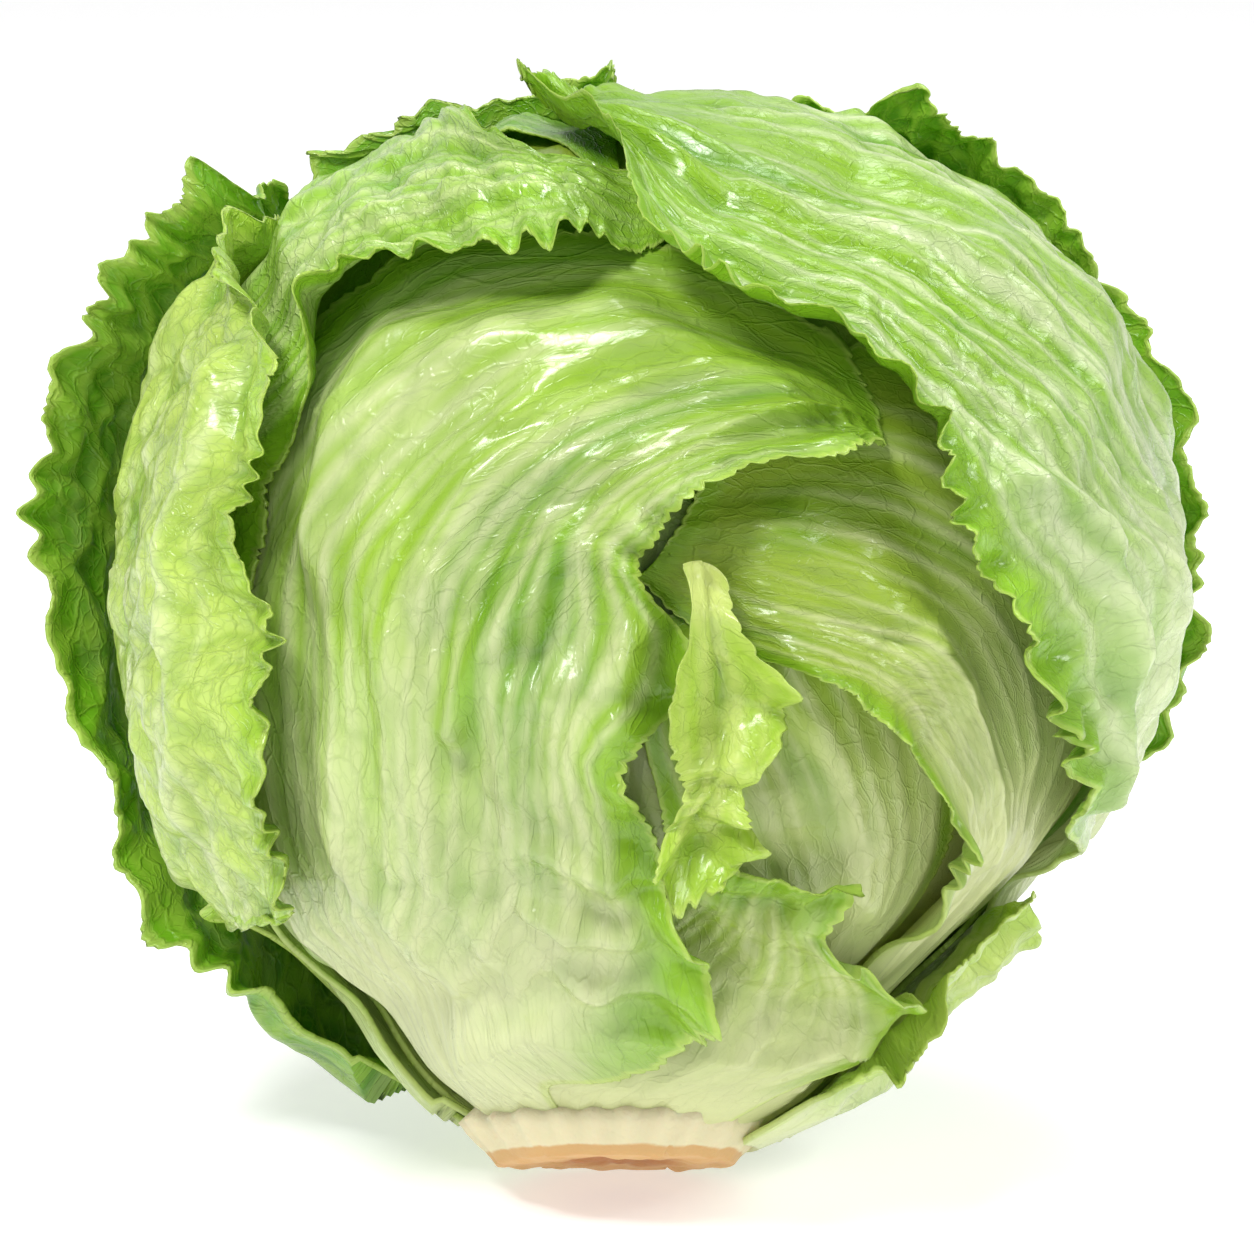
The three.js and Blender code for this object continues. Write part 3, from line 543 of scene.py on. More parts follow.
@dataclass(frozen=True)
class LeafFinish:
    """The colours and surface of one kind of leaf."""

    name: str
    slot: Slot
    base: tuple[float, float, float]
    blade: tuple[float, float, float]
    margin: tuple[float, float, float]
    vein: tuple[float, float, float]
    vein_strength: float = 0.35
    rib_strength: float = 0.85
    vein_relief: float = 1.0
    base_reach: float = 0.5
    roughness: float = 0.38
    translucency: float = 0.25
    vein_scale: float = 330.0
    bump_strength: float = 0.6
    bump_distance: float = 0.0005
    coat: float = 0.35
    coat_roughness: float = 0.14
    ior: float = 1.45
    rim: tuple[float, float, float] = (206, 226, 118)
    # Shares of the blade colour that give the painted shade in its hollows.
    hollow_shade_factors: tuple[float, float, float] = (0.66, 0.82, 0.42)

    @property
    def deep(self) -> tuple[float, float, float]:
        """The painted shade colour of the blade's hollows."""
        return tuple(tone * share for tone, share in zip(self.blade, self.hollow_shade_factors))

    def material(self, shading: LeafShading) -> bpy.types.Material:
        """Builds the finish's material.

        Args:
            shading: The shader groups that it uses.

        Returns:
            A waxy, slightly see-through leaf material.
        """
        made, w = blank_material(self.name)
        laid_out = w.node("ShaderNodeUVMap", uv_map="UVMap").outputs["UV"]
        place = w.node("ShaderNodeTexCoord").outputs["Object"]
        veins = w.node("ShaderNodeGroup", {"Vector": laid_out, "Scale": self.vein_scale},
                       node_tree=shading.veins).outputs
        small = w.math("MAXIMUM", w.math("MULTIPLY", veins["Coarse"], 0.6),
                       w.math("MULTIPLY", veins["Fine"], 0.35))
        tones = {"Base Tone": self.base, "Blade Tone": self.blade, "Painted Shade Tone": self.deep,
                 "Margin Tone": self.margin, "Vein Tone": self.vein, "Rim Tone": self.rim}
        tone = w.node("ShaderNodeGroup", {
            **{label: srgb(*colour) for label, colour in tones.items()},
            **{name.capitalize(): w.attribute(name) for name in ("along", "edge", "rib", "relief")},
            "Vein": w.math("MAXIMUM", w.attribute("net"), small), "Vector": place,
            "Vein Strength": self.vein_strength, "Rib Strength": self.rib_strength,
            "Base Reach": self.base_reach}, node_tree=shading.tone)
        grain = w.node("ShaderNodeGroup", {
            "Vector": place, "Vein": veins["Coarse"], "Fine Vein": veins["Fine"],
            "Roughness": self.roughness, "Vein Relief": self.vein_relief}, node_tree=shading.grain)
        bump = w.node("ShaderNodeBump", {"Strength": self.bump_strength, "Distance": self.bump_distance,
                                         "Height": grain.outputs["Height"]})
        skin = w.node("ShaderNodeBsdfPrincipled", {
            "Base Color": tone.outputs["Color"], "Roughness": grain.outputs["Roughness"],
            "Normal": bump.outputs["Normal"], "Coat Weight": self.coat, "Coat Roughness": self.coat_roughness,
            "IOR": self.ior})
        glow = w.node("ShaderNodeBsdfTranslucent", {"Color": tone.outputs["Color"]})
        both_ways = w.node("ShaderNodeMixShader",
                           {0: self.translucency, 1: skin.outputs[0], 2: glow.outputs[0]})
        w.node("ShaderNodeOutputMaterial", {"Surface": both_ways.outputs[0]})
        return made


@dataclass(frozen=True)
class StemFinish:
    """The finish of the cut stem: a browned cut face with a creamy rim."""

    name: str = "cut stem"
    flesh: tuple[float, float, float] = (222, 212, 174)
    face: tuple[float, float, float] = (206, 164, 106)
    core: tuple[float, float, float] = (180, 122, 68)
    blotch_scale: float = 190.0
    fibre_scale: float = 900.0
    roughness: float = 0.55

    def material(self) -> bpy.types.Material:
        """Builds the stem's material.

        Returns:
            A matte, fibrous material.
        """
        made, w = blank_material(self.name)
        place = w.node("ShaderNodeTexCoord").outputs["Object"]
        blotch = w.noise(place, self.blotch_scale, 5.0, Roughness=0.65)
        fibre = w.noise(place, self.fibre_scale, 3.0)
        uneven = w.math("SUBTRACT", blotch, 0.5)
        browned = w.ramp(w.math("ADD", w.attribute("face"), w.math("MULTIPLY", uneven, 0.7)), 0.35, 0.75)
        cored = w.ramp(w.math("ADD", w.attribute("middle"), w.math("MULTIPLY", uneven, 0.6)), 0.3, 0.9)
        colour = w.mix(cored, srgb(*self.face), srgb(*self.core))
        colour = w.mix(browned, srgb(*self.flesh), colour)
        height = w.math("ADD", blotch, w.math("MULTIPLY", fibre, 0.4))
        bump = w.node("ShaderNodeBump", {"Strength": 0.6, "Distance": 0.0008, "Height": height})
        skin = w.node("ShaderNodeBsdfPrincipled", {
            "Base Color": colour, "Roughness": self.roughness, "Normal": bump.outputs["Normal"],
            "Subsurface Weight": 0.15, "Subsurface Scale": 0.003})
        w.node("ShaderNodeOutputMaterial", {"Surface": skin.outputs[0]})
        return made


class PuckerTree:
    """Geometry nodes that puff a blade up between its veins, where it lies free."""

    WARP = 1.1
    DOME_WIDTH = 0.38
    NET_WIDTH = (0.01, 0.12)
    LEAST_PUFF = 0.45

    def __init__(self) -> None:
        """Builds the tree with named inputs."""
        tree = bpy.data.node_groups.new("pucker between veins", "GeometryNodeTree")
        for label, kind, default in (("Geometry", "Geometry", None), ("Height", "Float", 0.0004),
                                     ("Cells per metre", "Float", 150.0), ("Seed", "Float", 1.0),
                                     ("Finish", "Material", None)):
            socket = tree.interface.new_socket(name=label, in_out="INPUT", socket_type="NodeSocket" + kind)
            if default is not None:
                socket.default_value = default
        tree.interface.new_socket(name="Geometry", in_out="OUTPUT", socket_type="NodeSocketGeometry")
        w = Wiring(tree)
        given = w.node("NodeGroupInput").outputs
        flow, outward, free = (
            w.node("GeometryNodeInputNamedAttribute", {"Name": name}, data_type=kind).outputs["Attribute"]
            for name, kind in (("flow", "FLOAT_VECTOR"), ("out", "FLOAT_VECTOR"), ("free", "FLOAT")))
        place, wander = w.warped(flow, given["Cells per metre"], self.WARP,
                                 {"W": given["Seed"], "Scale": 0.9, "Detail": 2.0}, noise_dimensions="4D")
        cells = w.node("ShaderNodeTexVoronoi", {"Vector": place, "W": given["Seed"], "Scale": 1.0},
                       voronoi_dimensions="4D", feature="DISTANCE_TO_EDGE")
        edge = cells.outputs["Distance"]
        net = w.ramp(edge, *self.NET_WIDTH, 1.0, 0.0)
        height = w.ramp(edge, 0.0, self.DOME_WIDTH)
        for factor in (w.math("ADD", self.LEAST_PUFF, wander), given["Height"], free):
            height = w.math("MULTIPLY", height, factor)
        marked = w.node("GeometryNodeStoreNamedAttribute", {
            "Geometry": given["Geometry"], "Name": "net", "Value": net}, data_type="FLOAT")
        moved = w.node("GeometryNodeSetPosition", {"Geometry": marked.outputs[0],
                                                   "Offset": w.vector("SCALE", outward, height)})
        solid = w.node("GeometryNodeRealizeInstances", {"Geometry": moved.outputs[0]})
        dressed = w.node("GeometryNodeSetMaterial", {"Geometry": solid.outputs[0],
                                                     "Material": given["Finish"]})
        w.node("NodeGroupOutput", {"Geometry": dressed.outputs[0]})
        self.tree = tree

    def apply(self, piece: bpy.types.Object, height: float, size: float, seed: int,
              finish: bpy.types.Material) -> None:
        """Puckers a piece and turns the result into its plain mesh.

        Args:
            piece: The piece, whose mesh has the attributes flow, out and free.
            height: Height of the puffs in millimetres.
            size: Distance between the puffs in millimetres.
            seed: Fixed seed of their places.
            finish: The material of the whole piece.
        """
        modifier = piece.modifiers.new("pucker", "NODES")
        modifier.node_group = self.tree
        sockets = {item.name: item.identifier for item in self.tree.interface.items_tree
                   if item.in_out == "INPUT"}
        modifier[sockets["Height"]] = height * MM
        modifier[sockets["Cells per metre"]] = 1.0 / (size * MM)
        modifier[sockets["Seed"]] = float(seed)
        modifier[sockets["Finish"]] = finish
        bpy.context.view_layer.update()
        graph = bpy.context.evaluated_depsgraph_get()
        plain = bpy.data.meshes.new_from_object(piece.evaluated_get(graph), depsgraph=graph)
        piece.modifiers.clear()
        old, piece.data = piece.data, plain
        bpy.data.meshes.remove(old)
        for name in ("flow", "out", "free"):
            plain.attributes.remove(plain.attributes[name])
        plain.name = piece.name


def make_piece(name: str, points: np.ndarray, quads: np.ndarray, facts: dict[str, np.ndarray],
               places: np.ndarray | None = None) -> bpy.types.Object:
    """A closed, smooth-shaded mesh object.

    Args:
        name: The object's name.
        points: Its vertices in millimetres.
        quads: Four vertex numbers for each face.
        facts: Values per vertex, kept as attributes.
        places: Each vertex's place on the UV map, in metres.

    Returns:
        The object, linked to the scene.
    """
    a, b, c, d = (points[quads[:, i]] for i in range(4))
    volume = np.sum(a * np.cross(b, c)) + np.sum(a * np.cross(c, d))
    if volume < 0:
        quads = quads[:, ::-1]
    mesh = bpy.data.meshes.new(name)
    mesh.vertices.add(len(points))
    mesh.vertices.foreach_set("co", (points * MM).astype(np.float32).ravel())
    mesh.loops.add(quads.size)
    mesh.loops.foreach_set("vertex_index", quads.astype(np.int32).ravel())
    mesh.polygons.add(len(quads))
    mesh.polygons.foreach_set("loop_start", np.arange(0, quads.size, 4, dtype=np.int32))
    mesh.polygons.foreach_set("use_smooth", np.ones(len(quads), dtype=bool))
    mesh.update(calc_edges=True)
    for label, values in facts.items():
        vector = values.ndim == 2
        layer = mesh.attributes.new(label, "FLOAT_VECTOR" if vector else "FLOAT", "POINT")
        layer.data.foreach_set("vector" if vector else "value", values.astype(np.float32).ravel())
    if places is not None:
        layer = mesh.uv_layers.new(name="UVMap")
        layer.data.foreach_set("uv", places[quads.ravel()].astype(np.float32).ravel())
    mesh.validate()
    piece = bpy.data.objects.new(name, mesh)
    bpy.context.scene.collection.objects.link(piece)
    return piece


def place_in_frame(piece: bpy.types.Object, node: str) -> None:
    """Fixes a finished piece to the body in place of its node and reports it.

    Args:
        piece: The finished piece.
        node: The node that it stands for.
    """
    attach(piece, "root")
    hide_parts(node)
    LOG.info("%s: %d faces", piece.name, len(piece.data.polygons))


@dataclass
class CutStem:
    """The short stem, cut straight across, lying on the rear of its rim."""

    radius: float = 20.0
    rim: float = 17.6
    rim_height: float = 6.5
    length: float = STEM_LENGTH
    lean: float = 22.0
    turns: int = 160
    hollow: float = 1.3
    roughened: float = 0.9
    cracks: tuple = ((0.4, 1.0), (1.3, 0.6), (2.7, 0.9), (3.9, 0.7), (4.8, 1.1), (5.6, 0.6))
    crack_width: float = 0.35
    ridges: int = 23
    finish: StemFinish = field(default_factory=StemFinish)

    RIM_STEPS = ((-0.3, 0.1), (0.0, 0.5), (0.5, 1.2), (1.1, 2.2), (2.0, 3.4), (3.2, 4.8), (4.4, 6.5))

    def rings(self) -> list[tuple[float, float]]:
        """Radius and height of each ring, from the middle of the cut face to the inner end.

        Returns:
            Pairs in millimetres; heights run inward from the rim.
        """
        face = [(self.rim * share, self.hollow * (1 - share) ** 1.5) for share in np.linspace(0.03, 0.95, 30)]
        rim = [(self.rim + out, up) for out, up in self.RIM_STEPS]
        wall = [(self.radius - 0.6 - 0.009 * h * h - 0.1 * h, self.rim_height + h)
                for h in np.linspace(3.0, 26.0, 16)]
        return face + rim + wall + [(4.0, self.length - 1), (0.5, self.length)]

    def cracked(self, turn: np.ndarray, radius: np.ndarray) -> np.ndarray:
        """Depth of the cracks that run in from the rim of the cut face.

        Args:
            turn: Radians round the face.
            radius: Millimetres from its middle.

        Returns:
            The depth for each ring and turn.
        """
        depth = np.zeros((radius * turn).shape)
        for place, deep in self.cracks:
            off = np.angle(np.exp(1j * (turn - place))) * radius
            depth += deep * fading(off, self.crack_width) * smooth(radius, 9.0, 14.0)
        return depth

    def mesh(self) -> bpy.types.Object:
        """Builds the stem with a slightly hollow, cracked cut face.

        Returns:
            The stem's object.
        """
        rings = self.rings()
        turn = np.linspace(0, 2 * np.pi, self.turns, endpoint=False)[None, :]
        radius, height = (np.array([ring[i] for ring in rings])[:, None] for i in (0, 1))
        everywhere = np.ones_like(turn)
        on_face = smooth(-height, -3.0, -0.8) * everywhere
        uneven = value_noise(3 + np.cos(turn) * radius * 0.35, 5 + np.sin(turn) * radius * 0.35, 11)
        round_out = 1 + 0.03 * np.sin(3 * turn + 1) + 0.02 * np.sin(7 * turn)
        cracks = self.cracked(turn, radius) * smooth(-height, -2.5, -0.2)
        high = height + on_face * (self.roughened * uneven + cracks)
        ribbed = 1 + 0.03 * np.sin(self.ridges * turn + 2 * np.sin(3 * turn)) * smooth(height, 0.8, 4.0)
        wide = radius * round_out * ribbed
        lean = math.radians(self.lean)
        x, y = wide * np.sin(turn), -wide * np.cos(turn)
        points = np.stack([x, y * math.cos(lean) + high * math.sin(lean),
                           -y * math.sin(lean) + high * math.cos(lean)], axis=-1) + STEM_FACE_CENTRE
        points[..., 2] = np.maximum(points[..., 2], 0.0)
        rows, columns = points.shape[:2]
        middle = 1 - smooth(radius, 4.0, 15.0) * everywhere
        facts = {"face": on_face.ravel(), "middle": middle.ravel()}
        return closed_rings("cut_stem_flesh", points.reshape(-1, 3), facts, rows, columns)

    def build(self) -> None:
        """Builds, dresses and places the stem."""
        piece = self.mesh()
        piece.data.materials.append(self.finish.material())
        place_in_frame(piece, "cut_stem")


def ring_quads(rows: int, columns: int) -> np.ndarray:
    """The faces between rings of points that close round.

    Args:
        rows: Number of rings.
        columns: Points of one ring.

    Returns:
        Four point numbers for each face.
    """
    r, c = np.meshgrid(np.arange(rows - 1), np.arange(columns), indexing="ij")
    n = (c + 1) % columns
    return np.stack([r * columns + c, r * columns + n, (r + 1) * columns + n, (r + 1) * columns + c],
                    axis=-1).reshape(-1, 4)


def closed_rings(name: str, points: np.ndarray, facts: dict[str, np.ndarray], rows: int, columns: int,
                 places: np.ndarray | None = None) -> bpy.types.Object:
    """A piece of closed rings, whose first and last ring are filled between opposite points.

    Args:
        name: The piece's name.
        points: Its points in millimetres, ring after ring.
        facts: Values per point, kept as attributes.
        rows: Number of rings.
        columns: Points of one ring, an even number.
        places: Each point's place on the UV map.

    Returns:
        The object, linked to the scene.
    """
    caps = []
    for first in (0, (rows - 1) * columns):
        for i in range(columns // 2 - 1):
            ring = [first + i, first + i + 1, first + columns - 2 - i, first + columns - 1 - i]
            caps.append(ring if first else ring[::-1])
    quads = np.concatenate([ring_quads(rows, columns), np.array(caps)])
    return make_piece(name, points, quads, facts, places)


@dataclass(frozen=True)
class Fold:
    """A raised fold along a line of directions."""

    path: list[np.ndarray]
    width: float
    height: float

    def lift(self, directions: np.ndarray) -> np.ndarray:
        """The fold's height in millimetres in each direction.

        Args:
            directions: Unit directions from the head's centre.

        Returns:
            The heights.
        """
        least = np.full(directions.shape[:-1], np.inf)
        for start, end in zip(self.path[:-1], self.path[1:]):
            line = end - start
            share = np.clip(((directions - start) @ line) / (line @ line), 0.0, 1.0)
            away = np.linalg.norm(directions - start - share[..., None] * line, axis=-1)
            least = np.minimum(least, away)
        return self.height * fading(least * OUTLINE_RADIUS, self.width)


@dataclass
class Leaf:
    """One loose leaf: a waved blade with ribs, lobes, teeth and a frilled margin."""

    name: str
    node: str
    finish: LeafFinish
    rows: list[tuple[np.ndarray, np.ndarray, np.ndarray]]
    lobes: float
    ruffle: tuple[float, float, float]
    flare: tuple[float, float]
    folds: list[Fold]
    flared_by: float = 0.3
    ribs: int = 7
    pleat: float = 1.0
    frill: float = 1.3
    tooth: float = 0.7
    pucker: float = 0.6
    pucker_size: float = 6.0
    thickness: float = 0.6
    stretch: float = 1.6
    fold_depth: float = 1.4
    crumple: float = 0.0
    row_step: float = 0.5
    column_step: float = 0.75
    seed: int = 0
    curves: list[EdgeCurve] = field(init=False)

    SAMPLES = 60
    MOST_ROWS, MOST_COLUMNS, MOST_CELLS = 330, 150, 40000
    BUNCHING = 1.25
    # Where the noise of the right margin and of the tip starts, so that no two margins are alike.
    RIGHT_START, TIP_START = 300, 900
    MARGIN_FROM, TIP_FROM = 0.55, 0.82
    # Size in millimetres and share of the large, middle and small lobes.
    LOBE_SIZES = ((15.0, 1.0), (6.0, 0.5), (2.4, 0.22))
    TOOTH_WIDTH, TOOTH_ROOM = 2.3, 4.0
    RUFFLE_WIDTH, CURL_WIDTH, CURL_LENGTH = 9.0, 5.0, 10.5
    WAVE_RUN = 85.0
    # Start, end, width in millimetres and strength of the main, side and small ribs.
    RIB_ORDERS = ((0.0, 1.0, 1.5, 0.95), (0.12, 0.96, 0.9, 0.7), (0.35, 0.92, 0.5, 0.45))
    RIB_FAN = 0.93
    RIB_THICKNESS = 0.85
    ROOT_ANGLE, ROOT_SHARE = 30, 0.13
    COLLAR_HEIGHT, COLLAR_STEP, LAST_SEED = 7.0, 0.3, 13
    LEAST_GAP = 0.35

    def __post_init__(self) -> None:
        """Lays the blade's two edges and its middle through the rows."""
        self.curves = [EdgeCurve([row[i] for row in self.rows]) for i in range(3)]

    def blade(self, along: np.ndarray, across: np.ndarray) -> np.ndarray:
        """Directions on the blade, along from base 0 to tip 1 and across from left -1 to right 1.

        Args:
            along: Places from base to tip.
            across: Places from the left edge to the right.

        Returns:
            A unit direction for each place.
        """
        left, middle, right = (curve.at(along) for curve in self.curves)
        x = across[..., None]
        return unit(left * (x * (x - 1) / 2) + middle * (1 - x * x) + right * (x * (x + 1) / 2))

    def footprint(self) -> np.ndarray:
        """Directions spread evenly over the blade."""
        along, across = np.meshgrid(np.linspace(0, 1, 260), np.linspace(-1, 1, 200), indexing="ij")
        return self.blade(along, across)

    def half_width(self, along: np.ndarray) -> np.ndarray:
        """Half the blade's width in millimetres."""
        middle = self.blade(along, np.zeros_like(along))
        return OUTLINE_RADIUS * np.linalg.norm(middle - self.blade(along, np.ones_like(along)), axis=-1)

    def length(self) -> float:
        """The blade's length along its middle, in millimetres."""
        middle = self.blade(np.linspace(0, 1, self.SAMPLES), np.zeros(self.SAMPLES))
        return OUTLINE_RADIUS * float(np.sum(np.linalg.norm(np.diff(middle, axis=0), axis=1)))

    def grid(self) -> tuple[np.ndarray, np.ndarray]:
        """The blade's grid of places, along and across, with narrower cells at the margins.

        Returns:
            Two arrays of the same shape.
        """
        width = 2 * float(np.max(self.half_width(np.linspace(0, 1, self.SAMPLES))))
        rows = int(min(max(self.length() / self.row_step, 40), self.MOST_ROWS))
        columns = int(min(max(width / self.column_step, 24), self.MOST_CELLS // rows, self.MOST_COLUMNS))
        step = np.linspace(-1, 1, columns + 1)
        bunched = np.sign(step) * (1 - (1 - np.abs(step)) ** self.BUNCHING)
        along, across = np.meshgrid(np.linspace(0, 1, rows + 1), bunched, indexing="ij")
        return along, across

    def runs(self, along: np.ndarray, across: np.ndarray) -> tuple[np.ndarray, np.ndarray, np.ndarray]:
        """Half the blade's width, and the run along the side margins and along the tip, in millimetres.

        Args:
            along: Places from base to tip.
            across: Places from the left edge to the right.

        Returns:
            The three arrays.
        """
        half = self.half_width(along)
        run = along * self.length() + self.RIGHT_START * np.where(across < 0, 0, 1)
        return half, run, across * half + self.TIP_START

    def wander(self, run: np.ndarray, size: float, number: int) -> np.ndarray:
        """Uneven values between -1 and 1 along a margin, with bumps of a size in millimetres."""
        return 2 * value_noise(run / size + 7.3 * number, np.zeros_like(run), self.seed * 13 + number) - 1

    def bumps(self, run: np.ndarray, size: float, number: int) -> np.ndarray:
        """Uneven values between 0 and 1 along a margin."""
        return 0.5 + 0.5 * self.wander(run, size, number)

    def notches(self, run: np.ndarray, numbers: tuple[int, int, int], tooth: int) -> tuple:
        """The lobes and the small round teeth of a margin.

        Args:
            run: Places along the margin, in millimetres.
            numbers: The numbers of the noises of the large, middle and small lobes.
            tooth: The number of the noise that makes the teeth uneven.

        Returns:
            How far the lobes and the teeth stand out, in millimetres.
        """
        cut = sum(share * self.wander(run, size, number)
                  for (size, share), number in zip(self.LOBE_SIZES, numbers))
        scallop = np.abs(np.sin(np.pi * (run / self.TOOTH_WIDTH + 1.2 * self.wander(run, 5.0, tooth))))
        return self.lobes * cut, self.tooth * (scallop - 0.6)

    def lobed(self, along: np.ndarray, across: np.ndarray) -> np.ndarray:
        """Directions with the margin cut into lobes and small round teeth.

        Args:
            along: Places from base to tip.
            across: Places from the left edge to the right.

        Returns:
            A unit direction for each place.
        """
        half, run, end = self.runs(along, across)
        from_base = self.grown(along)
        cut, teeth = self.notches(run, (1, 2, 8), 3)
        teeth = teeth * (1.1 + self.wander(run, 7.0, 4))
        margin = smooth(np.abs(across), self.MARGIN_FROM, 1.0)
        close = smooth((np.abs(across) - 1) * half, -self.TOOTH_ROOM, 0.0) * from_base
        wide = across * (1 + (cut * margin * from_base + teeth * close) / (half + 4))
        cut, teeth = self.notches(end, (5, 6, 9), 7)
        close = smooth((along - 1) * self.length(), -self.TOOTH_ROOM, 0.0)
        long = along + (smooth(along, self.TIP_FROM, 1.0) * cut + teeth * close) / self.length()
        return self.blade(long, wide)

    def grown(self, along: np.ndarray) -> np.ndarray:
        """How free of its root each place is, from 0 to 1."""
        return smooth(along, 0.06, 0.3) if self.rooted() else np.ones_like(along)

    def rooted(self) -> bool:
        """Whether the leaf's base runs down to the stem."""
        return degrees_off_stem(self.rows[0][1]) < self.ROOT_ANGLE

    def rib_mask(self, along: np.ndarray, across: np.ndarray) -> np.ndarray:
        """How much of a rib runs through each place: ribs fan out from the base and thin out.

        Args:
            along: Places from base to tip.
            across: Places from the left edge to the right.

        Returns:
            Values from 0 to 1.
        """
        half = self.half_width(along)
        mask = np.zeros_like(along)
        rng = np.random.default_rng(self.seed + 5)
        for order, (start, stop, width, strength) in enumerate(self.RIB_ORDERS, 1):
            count = self.ribs * order
            wide = width * (1.15 - 0.75 * along) + 0.18
            shown = smooth(along, start, start + 0.18) if start else 1.0
            shown = strength * shown * (1 - smooth(along, stop - 0.3, stop))
            for rib in range(count):
                line = -self.RIB_FAN + 2 * self.RIB_FAN * (rib + 0.5 + rng.uniform(-0.42, 0.42)) / count
                line = line * (1 - 0.25 * (1 - along) ** 2)
                bend = 0.07 * np.sin(along * rng.uniform(4, 9) + rng.uniform(0, 6))
                mask = np.maximum(mask, shown * fading((across - line - bend * along) * half, wide))
        return mask

    def stand_off(self, along: np.ndarray, across: np.ndarray, directions: np.ndarray) -> np.ndarray:
        """How far a free blade stands off what it lies on, in millimetres.

        Args:
            along: Places from base to tip.
            across: Places from the left edge to the right.
            directions: The places' directions.

        Returns:
            The heights.
        """
        half, run, end = self.runs(along, across)
        from_base = self.grown(along)
        inward, back = (1 - np.abs(across)) * half, (1 - along) * self.length()
        ruffle, flare = (np.where(across < 0, sides[0], sides[1]) for sides in (self.ruffle, self.flare))
        edge = ruffle * fading(inward, self.RUFFLE_WIDTH) * from_base * self.bumps(run, 7.0, 11)
        top = self.ruffle[2] * fading(back, self.RUFFLE_WIDTH) * self.bumps(end, 7.0, 12)
        height = np.maximum(edge, top)
        height += 0.8 * from_base * (0.5 + 0.5 * waves(along * self.WAVE_RUN, self.seed))
        height += flare * np.abs(across) ** 1.6 * smooth(along, 0.06, self.flared_by)
        for fold in self.folds:
            height += fold.lift(directions)
        side = fading(inward, self.CURL_WIDTH) * from_base * (0.25 + 0.75 * np.minimum(ruffle / 2, 1))
        tip = fading(back, self.CURL_WIDTH)
        turns = (place / self.CURL_LENGTH + 1.1 * self.wander(place, 15.0, number)
                 for place, number in ((run, 13), (end, 14)))
        curl, end_curl = (1 + np.sin(2 * np.pi * turn) for turn in turns)
        near = np.maximum(side * curl, tip * end_curl)
        height += self.frill * near * (0.65 + 0.6 * self.wander(run + end, 19.0, 15))
        crimp = side * (0.6 * self.wander(run, 3.4, 16) * (1 + self.wander(run, 8.0, 18))
                        + 0.4 * self.wander(run, 1.8, 17))
        crimp += tip * (0.6 * self.wander(end, 3.4, 19) + 0.4 * self.wander(end, 1.8, 20))
        return height + 0.45 * self.frill * crimp * (1 - 0.5 * smooth(along, self.TIP_FROM, 1.0))

    def relief(self, along: np.ndarray, across: np.ndarray) -> tuple[np.ndarray, np.ndarray]:
        """The pleats and blisters of the blade.

        Args:
            along: Places from base to tip.
            across: Places from the left edge to the right.

        Returns:
            Their height in millimetres, and from 0 in a hollow to 1 on a crest.
        """
        bent = across + 0.18 * (value_noise(along * 4 + 5, across * 2.5 + 5, self.seed + 71) - 0.5)
        large = ridged(bent * self.ribs * 0.34 + 3, along * 2.3 + across, self.seed + 59) ** 2
        pleats = ridged(bent * self.ribs * 0.8 + 9, along * 3.4, self.seed + 61) ** 1.5
        fine = ridged(bent * self.ribs * 2.4 + 5, along * 9, self.seed + 67)
        u, v = bent * self.half_width(along), along * self.length() / self.stretch
        blisters = (0.65 * puffed(u / 12 + 20, v / 10 + 20, self.seed + 73)
                    + 0.35 * puffed(u / 5.2 + 9, v / 5.2 + 30, self.seed + 79))
        height = self.fold_depth * smooth(along, 0.2, 0.5) * large
        height += self.grown(along) * (self.pleat * (0.8 * pleats + 0.18 * fine) + self.crumple * blisters)
        most = 0.7 * self.fold_depth + 0.8 * self.pleat + 0.7 * self.crumple
        return height, np.clip(height / most, 0.0, 1.0)

    def base_reach(self, directions: np.ndarray) -> np.ndarray:
        """The radius of the cone on which the leaf's base runs in to the collar of the stem.

        Args:
            directions: Unit directions from the head's centre.

        Returns:
            The radii in millimetres.
        """
        depth = float(np.linalg.norm(STEM_FACE_CENTRE - HEAD_CENTRE)) + self.COLLAR_HEIGHT
        depth -= self.COLLAR_STEP * (self.LAST_SEED - self.seed)
        stretched = np.linalg.norm(directions * HEAD_STRETCH @ SEEN_AXES, axis=-1)
        toward_face = np.clip(directions @ STEM_AXIS, 0.2, 1.0)
        return depth / (toward_face + 0.5 * np.sqrt(1 - toward_face ** 2)) / stretched

